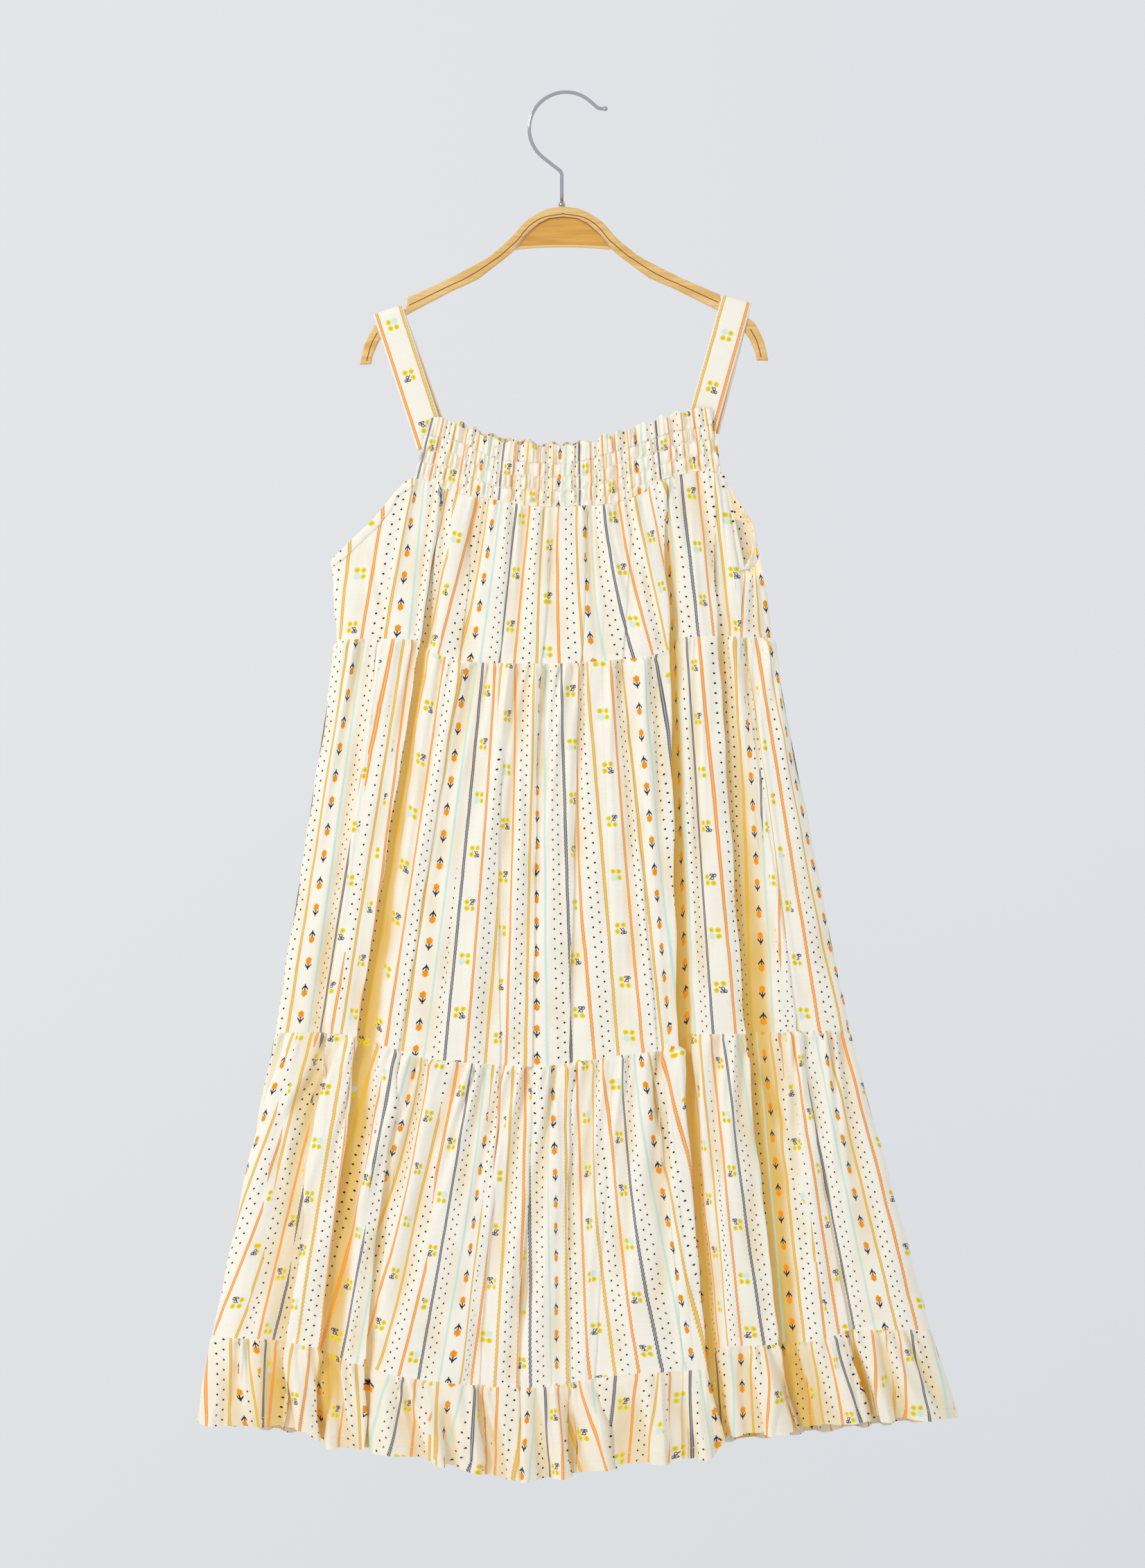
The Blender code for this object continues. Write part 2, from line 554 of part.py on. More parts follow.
def main():
    for old in list(bpy.data.objects):
        bpy.data.objects.remove(old, do_unlink=True)
    collection = bpy.data.collections.new("mini_dress")
    bpy.context.scene.collection.children.link(collection)

    front_columns = spread_columns(77, FRONT_VALLEYS, (0.0,))
    back_columns = spread_columns(59, BACK_VALLEYS, (0.0, 0.055, 1.0))
    corners = FRONT_X[1][1], FRONT_X[9][1]
    back_corners = BACK_TOP[5][1], BACK_TOP[9][1]

    def snapped(columns, marks):
        columns = columns.copy()
        for mark in marks:
            columns[np.abs(columns - mark).argmin()] = mark
        return columns

    front_columns = snapped(front_columns, corners)
    back_columns = snapped(back_columns, back_corners)

    tiers = (
        # name, lower seam, near rows, even rows, gather heights
        ("bodice", 1, (BINDING_WIDTH,), 3, GATHERS),
        ("tier_2", 2, (10.0, 30.0), 4, GATHERS),
        ("tier_3", 3, (10.0, 30.0), 3, GATHERS),
        ("ruffle", 4, (10.0,), 2, RUFFLE_WAVES),
    )
    for phase, (name, seam, near, even, heights) in enumerate(tiers):
        sheet = sheet_between(
            front_columns, seam, front_seam, FRONT_VALLEYS, False, near, even, heights, WAVES[name][0], 0.13 * phase
        )
        panel(f"{name}_front", *sheet, collection)
        back = sheet_between(
            back_columns, seam, back_seam, BACK_VALLEYS, True, near, even, heights, WAVES[name][1], 0.13 * phase + 0.4
        )
        panel(f"{name}_back", *back, collection)
        if name != "bodice":
            continue
        pieces = (
            ("binding_left_front", sheet, front_columns <= corners[0]),
            ("binding_right_front", sheet, front_columns >= corners[1]),
            ("binding_right_back", back, back_columns <= back_corners[0]),
            ("binding_left_back", back, back_columns >= back_corners[1]),
        )
        for piece, (points, out), chosen in pieces:
            binding(piece, points[:2, chosen], out[:2, chosen], collection)

    on_yoke = (front_columns >= corners[0]) & (front_columns <= corners[1])
    yoke("yoke_front", front_columns[on_yoke], front_seam, False, WAVES["yoke"][0], collection)
    on_yoke = (back_columns >= back_corners[0]) & (back_columns <= back_corners[1])
    yoke("yoke_back", back_columns[on_yoke], back_seam, True, WAVES["yoke"][1], collection)

    for strap in STRAPS:
        add_strap(*strap, collection)

    top_edge, low_edge = both_sides(BOW_TOP_EDGE), both_sides(BOW_LOW_EDGE)
    add_plate("hanger_bow", top_edge + low_edge[::-1], BOW_THICK, 1.0, "birch", collection)
    arch = both_sides(BOW_LOW_EDGE[:6])
    arch = [(x * 0.985, z - SEAM_GAP) for x, z in arch]
    low = [(x * 0.93, WEB_LOW - 0.0012 * (x - BOW_MIDDLE_X) ** 2) for x, _ in arch[::-1]]
    add_plate("hanger_web", arch + low, WEB_THICK, 0.8, "birch_web", collection)
    add_hook(collection)
    add_collar(collection)


main()
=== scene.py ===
# %% [markdown]
# # A tiered cotton mini dress on a wooden hanger
# The dress is thin printed cotton: a shirred yoke, a bodice, two gathered tiers and a ruffle. It hangs
# from two straps over a wooden hanger with a wire hook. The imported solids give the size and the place
# of everything. This file dresses them: cloth, print, stitches, wood and wire.

import math

import bpy
import bmesh
import numpy as np
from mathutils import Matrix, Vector
from mathutils.bvhtree import BVHTree


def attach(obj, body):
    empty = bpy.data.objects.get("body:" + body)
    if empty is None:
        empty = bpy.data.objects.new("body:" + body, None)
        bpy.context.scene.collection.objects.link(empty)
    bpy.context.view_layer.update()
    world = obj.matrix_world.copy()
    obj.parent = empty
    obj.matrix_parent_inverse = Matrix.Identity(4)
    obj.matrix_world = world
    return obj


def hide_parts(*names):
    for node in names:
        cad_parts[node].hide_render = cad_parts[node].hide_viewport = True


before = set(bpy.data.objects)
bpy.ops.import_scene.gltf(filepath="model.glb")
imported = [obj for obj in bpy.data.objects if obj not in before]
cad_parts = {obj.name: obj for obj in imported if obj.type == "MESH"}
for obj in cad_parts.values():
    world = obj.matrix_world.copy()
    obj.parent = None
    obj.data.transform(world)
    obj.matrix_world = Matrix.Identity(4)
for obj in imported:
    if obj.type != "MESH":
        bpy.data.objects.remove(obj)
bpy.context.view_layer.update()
MM = 0.001
print("solids:", len(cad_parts))

# %% [markdown]
# The dress is laid out from seam to seam, as a pattern cutter would: each seam has a left and a right
# end and a depth, and each place along it has a height. The tables repeat the solids' own sizes, in
# millimetres, so that the cloth lies where its solid does.

# %% Sizes shared with the solids
GIRTH = (
    # left, right, front depth, back depth at the top, seam_1, seam_2, seam_3 and hem
    (-170.4, 141.7, 11.0, 10.5),
    (-166.9, 149.7, 17.0, 13.0),
    (-211.3, 206.3, 21.0, 16.0),
    (-257.3, 265.4, 24.0, 19.0),
    (-268.4, 285.1, 27.0, 22.0),
)
FRONT_X = (
    # share of the width, x at the top, seam_1, seam_2, seam_3 and hem
    (0.000, -170.4, -166.9, -211.3, -257.3, -268.4),
    (0.125, -110.8, -130.0, -170.9, -214.4, -224.5),
    (0.216, -86.6, -103.3, -143.7, -177.5, -184.1),
    (0.302, -57.3, -78.0, -113.4, -137.1, -139.6),
    (0.500, -18.9, -19.9, -32.6, -41.2, -41.2),
    (0.730, 25.5, 47.7, 44.7, 49.7, 51.3),
    (0.835, 59.8, 78.5, 84.6, 106.8, 112.9),
    (0.895, 83.6, 96.2, 110.8, 132.1, 139.1),
    (0.955, 101.3, 116.9, 144.2, 165.4, 173.5),
    (0.980, 113.4, 122.0, 157.3, 188.6, 199.7),
    (1.000, 130.0, 127.0, 168.4, 207.8, 224.0),
)
FRONT_Z = (
    # share of the width, z at the top, seam_1, seam_2, seam_3 and hem
    (0.000, -340.6, -398.6, -685.0, -905.7, -968.8),
    (0.050, -316.0, -398.3, -685.2, -907.5, -971.0),
    (0.125, -281.5, -398.1, -685.5, -909.2, -972.8),
    (0.200, -286.0, -399.2, -688.5, -913.7, -973.8),
    (0.235, -291.5, -407.7, -692.6, -920.3, -985.0),
    (0.350, -297.6, -415.3, -704.2, -935.5, -992.0),
    (0.520, -301.7, -416.3, -709.2, -943.0, -1010.2),
    (0.730, -300.2, -412.3, -700.6, -932.4, -998.1),
    (0.820, -292.6, -406.7, -696.6, -929.4, -993.0),
    (0.852, -283.0, -397.1, -686.0, -913.2, -978.9),
    (0.955, -275.5, -396.1, -685.5, -911.2, -973.8),
    (0.980, -277.4, -396.4, -684.9, -907.0, -970.0),
    (1.000, -347.6, -397.1, -683.5, -901.1, -965.8),
)
BACK_Z = (
    # share of the width from the right side, z at seam_1, seam_2, seam_3 and hem
    (0.00, -397.1, -683.5, -901.1, -965.8),
    (0.30, -401.0, -690.0, -912.0, -985.0),
    (0.52, -404.0, -694.0, -922.0, -1000.0),
    (0.78, -401.0, -689.0, -914.0, -984.0),
    (1.00, -398.6, -685.0, -905.7, -968.8),
)
BACK_TOP = (
    # share of the width, x, z, y: up the right armhole, along the yoke and down the left armhole
    (0.000, 130.0, -347.6, -6.6),
    (0.030, 136.2, -334.0, -3.0),
    (0.060, 137.2, -320.4, 0.5),
    (0.090, 132.1, -308.0, 3.6),
    (0.115, 124.5, -297.0, 6.0),
    (0.140, 113.4, -281.0, 8.8),
    (0.230, 85.0, -281.0, 9.8),
    (0.500, -5.0, -296.0, 10.5),
    (0.760, -80.0, -287.0, 9.9),
    (0.860, -110.8, -281.5, 9.0),
    (0.935, -142.0, -316.0, 6.0),
    (1.000, -170.4, -340.6, 0.0),
)
YOKE_TOP = (
    # share of the yoke's width, x, z on the front, z on the back
    (0.00, -99.2, -236.0, -236.0),
    (0.10, -79.0, -240.2, -239.0),
    (0.28, -44.0, -254.5, -249.0),
    (0.47, -4.0, -257.2, -253.0),
    (0.70, 42.0, -246.0, -245.0),
    (0.88, 82.0, -233.0, -233.5),
    (1.00, 106.3, -228.5, -229.5),
)
OVAL = 3.0
print("seams:", len(GIRTH))


# %% Curves through a table
def smooth_through(xs, ys, x):
    """A smooth curve through the points that never overshoots between them."""
    xs, ys, x = np.asarray(xs, float), np.asarray(ys, float), np.asarray(x, float)
    h = np.diff(xs)
    d = np.diff(ys) / h
    m = np.zeros_like(ys)
    m[0], m[-1] = d[0], d[-1]
    for k in range(1, len(ys) - 1):
        if d[k - 1] * d[k] > 0:
            a, b = 2 * h[k] + h[k - 1], h[k] + 2 * h[k - 1]
            m[k] = (a + b) / (a / d[k - 1] + b / d[k])
    k = np.clip(np.searchsorted(xs, x) - 1, 0, len(h) - 1)
    t = np.clip((x - xs[k]) / h[k], 0, 1)
    return (
        (2 * t**3 - 3 * t**2 + 1) * ys[k]
        + (t**3 - 2 * t**2 + t) * h[k] * m[k]
        + (3 * t**2 - 2 * t**3) * ys[k + 1]
        + (t**3 - t**2) * h[k] * m[k + 1]
    )


def column(table, index):
    """One column of a table, by its number."""
    return np.array([row[index] for row in table], float)


def unit(v):
    """Vectors of length one in the same directions."""
    return v / np.maximum(np.linalg.norm(v, axis=-1, keepdims=True), 1e-9)


def steps_of(points):
    """Distance from each point of a line to the next."""
    return np.linalg.norm(np.diff(points, axis=0), axis=1)


def run_of(steps):
    """Distance run at each point, from the steps between the points."""
    return np.concatenate([[0], np.cumsum(steps)])


def rising(value, reach):
    """0 at zero or below, 1 from the reach on, and a straight rise between."""
    return np.clip(value / reach, 0, 1)


def off_seams(down, height, reach):
    """1 in the middle of a panel, falling to 0 at its upper and lower seams."""
    return rising(down, reach) * rising(height - down, reach)


def ripple(x, wave, seed):
    """An uneven wave along x, from about -1 to 1, the same each time for the same seed."""
    turns = 2 * math.pi * x / wave
    drift = 0.9 * np.sin(0.37 * turns + 1.7 * seed) + 0.5 * np.sin(0.21 * turns + 2.9 * seed)
    size = 0.72 + 0.28 * np.sin(0.29 * turns + 4.1 * seed)
    return size * np.sin(turns + drift + 5.3 * seed)


def cloud(x, z, size, seed):
    """Soft two-way unevenness, from about -1 to 1."""
    a, b = 2 * math.pi * x / size, 2 * math.pi * z / size
    return (
        np.sin(a + 0.7 * np.sin(0.6 * b + seed) + seed)
        * np.sin(0.55 * b + 0.8 * np.sin(0.45 * a + 2 * seed) + 1.3 * seed)
    )


print("ripple at 3 mm:", round(float(ripple(3.0, 12.0, 1.0)), 3))

# %% [markdown]
# Thin cotton hung by its top falls in a few deep folds, where one part laps over a shaded floor, with
# soft pleats between. Such folds could come from a cloth simulation, but a simulation chooses its own
# places. Here each fold has a row in a table: where its edge stands at each seam, how wide its floor
# is, how deep it lies and how far the edge laps over. Below zero, the lap is that of the fold's right
# edge, over a floor to its left. The last number says how the fold grows down the bodice: below 1 it
# opens close under the yoke, and above 1 only near the seam. The cross-section of a fold is then one
# smooth curve through eight points.

# %% The folds of the front
FOLDS = (
    # name, x of the overhanging edge at the five seams, width of the floor,
    # depth, overhang, shoulder, growth
    (
        "valley_1", (-122.0, -133.6, -175.0, -203.3, -208.8), (5.0, 7.1, 15.2, 18.2, 19.2),
        (0, 1.8, 3.8, 4.5, 6), (0, -0.3, -0.5, -1, -2), 14, 2.0,
    ),
    (
        "valley_2", (-92.7, -105.5, -151.8, -179.0, -181.0), (1.5, 5.0, 13.1, 15.2, 8.1),
        (0.4, 7, 8, 7, 8), (0, 2.5, 3, 3, 3.5), 5, 1.0,
    ),
    (
        "valley_2b", (-63.9, -76.5, -122.0, -146.2, -145.7), (2.0, 3.0, 4.0, 5.0, 3.0),
        (0, 0.8, 2, 6, 7), (0, 0, 0.5, 2.5, 3.5), 6, 1.0,
    ),
    (
        "pleat_1", (-36.1, -49.2, -47.7, -62.9, -63.9), (2.0, 2.0, 2.0, 2.0, 2.5),
        (0, 1.4, 1.6, 1.5, 3), (0, 0.3, 0.5, 0.5, 1.5), 5, 1.0,
    ),
    (
        "pleat_2", (-5.8, -18.4, -24.5, -34.6, -33.6), (2.0, 2.5, 2.0, 2.0, 2.5),
        (0, 1.4, 2, 2.5, 4), (0, 0.3, 0.6, 1, 2), 5, 1.0,
    ),
    (
        "pleat_3", (16.9, 10.9, 2.8, 2.8, 2.8), (2.0, 2.0, 2.0, 2.0, 2.5),
        (0, 1.4, 2, 1.5, 3), (0, 0.3, 0.8, 0.5, 1.5), 5, 1.0,
    ),
    (
        "pleat_4", (32.1, 26.0, 34.6, 21.0, 32.1), (2.0, 2.0, 2.0, 2.0, 3.0),
        (0, 0.5, 0.3, 1.5, 6), (0, 0, 0, 0.5, 4), 5, 1.0,
    ),
    (
        "pleat_5", (49.7, 41.7, 66.4, 85.1, 85.1), (2.0, 2.0, 2.0, 2.0, 2.5),
        (0, 1.6, 1.5, 1, 2), (0, 0.3, 0.6, 0, 0.5), 4, 1.0,
    ),
    (
        "valley_3", (71.0, 75.5, 82.1, 102.8, 117.4), (6.1, 7.1, 9.6, 8.6, 4.5),
        (0.8, 8, 9, 8.5, 9), (0, 2.5, 3, 3, 4), 5, 0.5,
    ),
    (
        "valley_4", (107.8, 110.8, 131.6, 154.8, 172.5), (3.0, 11.1, 19.2, 15.2, 12.1),
        (0, 4.5, 8, 8, 8), (0, 2, 3, 3.5, 4), 5, 2.5,
    ),
    (
        "valley_5", (117.9, 127.0, 168.4, 206.3, 218.9), (2.0, 2.5, 3.0, 4.0, 4.0),
        (0, 0, 1.2, 3, 6), (0, 0, 0.4, 1, 3), 5, 1.0,
    ),
)
LOBE_CROWN = (0.0, 1.6, 2.2, 2.6, 3.0)  # how far the cloth between two folds stands proud


def half_section(seam, back=False):
    """Points of the flattened oval at a seam, from its left end to its right one, and their run."""
    left, right, front, rear = GIRTH[seam]
    middle, half, depth = (left + right) / 2, (right - left) / 2, (rear if back else front)
    t = np.linspace(-math.pi / 2, math.pi / 2, 3001)
    x = middle + half * np.sign(np.sin(t)) * np.abs(np.sin(t)) ** (2 / OVAL)
    y = depth * np.abs(np.cos(t)) ** (2 / OVAL) * (1 if back else -1)
    return x, y, run_of(np.hypot(np.diff(x), np.diff(y)))


def fold_nodes(seam, right_end=None):
    """Places along the front cloth at a seam: their number, run along the oval, and dip below it."""
    x, _, run = half_section(seam)
    end = run[-1] if right_end is None else np.interp(right_end, x, run)
    count, runs, dips, at = 0.0, [0.0], [0.0], 0.0
    counts = [count]
    for index, (_, edges, floors, depths, laps, shoulder, _) in enumerate(FOLDS):
        edge = np.interp(edges[seam], x, run)
        floor, depth, lap = floors[seam], depths[seam], laps[seam]
        after = FOLDS[index + 1][1][seam] if index + 1 < len(FOLDS) else None
        room = (np.interp(after, x, run) if after is not None else end) - edge
        soft = shoulder if lap < 0 else 0
        floor = min(floor, 0.55 * room) if lap >= 0 else floor
        start = max(edge - (floor + soft if lap < 0 else shoulder), at + 0.35 * (edge - at))
        crown = -LOBE_CROWN[seam] * min((start - at) / 50.0, 1.0)
        for share in (0.3, 0.7):
            count += 3
            counts.append(count)
            runs.append(at + share * (start - at))
            dips.append(crown)
        if lap < 0:
            after_fold = edge + 4.0
            template = (
                (start, 0.0),
                (start + 0.8 * soft, 0.5 * depth),
                (edge - 0.6 * floor, 0.92 * depth),
                (edge - 0.15 * floor, depth),
                (edge - lap, 0.92 * depth),
                (edge - 0.5 * lap, 0.5 * depth),
                (edge, 0.10 * depth),
                (after_fold, 0.0),
            )
        else:
            after_fold = edge + floor + min(shoulder, 0.3 * (room - floor))
            template = (
                (start, 0.0),
                (edge, 0.10 * depth),
                (edge - 0.5 * lap, 0.5 * depth),
                (edge - lap, 0.92 * depth),
                (edge + 0.15 * floor, depth),
                (edge + 0.75 * floor, 0.92 * depth),
                (edge + floor, 0.45 * depth),
                (after_fold, 0.0),
            )
        for step, (run_at, dip) in enumerate(template):
            count += 3 if step == 0 else 1
            counts.append(count)
            runs.append(run_at)
            dips.append(dip)
        at = after_fold
    for share in (0.3, 0.7, 1.0):
        count += 3
        counts.append(count)
        runs.append(at + share * (end - at))
        dips.append(-LOBE_CROWN[seam] * min((end - at) / 50.0, 1.0) if share < 1 else 0.0)
    return np.array(counts), np.array(runs), np.array(dips)


def front_height(seam, x):
    """Height of a front seam at x."""
    share = np.linspace(0, 1, 1501)
    xs = smooth_through(column(FRONT_X, 0), column(FRONT_X, 1 + seam), share)
    zs = smooth_through(column(FRONT_Z, 0), column(FRONT_Z, 1 + seam), share)
    return np.interp(x, xs, zs)


def front_seam(count, seam, right_end=None):
    """Points of a seam at the numbered places, and how far each dips below the oval."""
    counts, runs, dips = fold_nodes(seam, right_end)
    xs, ys, run = half_section(seam)
    at = smooth_through(counts, runs, count)
    dip = smooth_through(counts, dips, count)
    x, y = np.interp(at, run, xs), np.interp(at, run, ys)
    here = np.clip(np.searchsorted(run, at), 2, len(run) - 3)
    inward = unit(np.stack([ys[here + 2] - ys[here - 2], xs[here - 2] - xs[here + 2]], axis=-1)) * -1
    x, y = x + dip * inward[:, 0], y + dip * inward[:, 1]
    return np.stack([x, y, front_height(seam, x) + 0.12 * dip], axis=-1), dip


last_place = fold_nodes(0)[0][-1]
sample, sample_dip = front_seam(np.linspace(0, last_place, 400), 2)
print("folds:", len(FOLDS), "deepest at seam_2:", round(float(sample_dip.max()), 1), "mm")


# %% Columns of points, evenly spaced along the folded cloth
def even_columns(total):
    """Places for the columns, so that they are evenly spaced on the average of all the seams."""
    fine = np.linspace(0, last_place, 6001)
    steps = np.zeros(len(fine) - 1)
    for seam, right_end in ((0, 130.0), (1, 127.0), (2, None), (3, None)):
        points, _ = front_seam(fine, seam, right_end)
        length = steps_of(points)
        steps += length / length.sum()
    along = run_of(steps)
    return np.interp(np.linspace(0, along[-1], total), along, fine)


places = even_columns(560)
FOLD_STEP, FOLD_FLOOR = 16.0, 12.0  # places from fold to fold, and the place of the first fold's floor
growths = np.interp(places, FOLD_FLOOR + FOLD_STEP * np.arange(len(FOLDS)), column(FOLDS, 6))
print("columns:", len(places))

# %% [markdown]
# The print runs straight along the cloth's grain, so it tells how the cloth lies: a stripe that goes
# behind a fold's edge comes out again further on. Each panel gets a short chart of how much cloth has
# passed, from its left side, at a few places along its upper and lower seams.

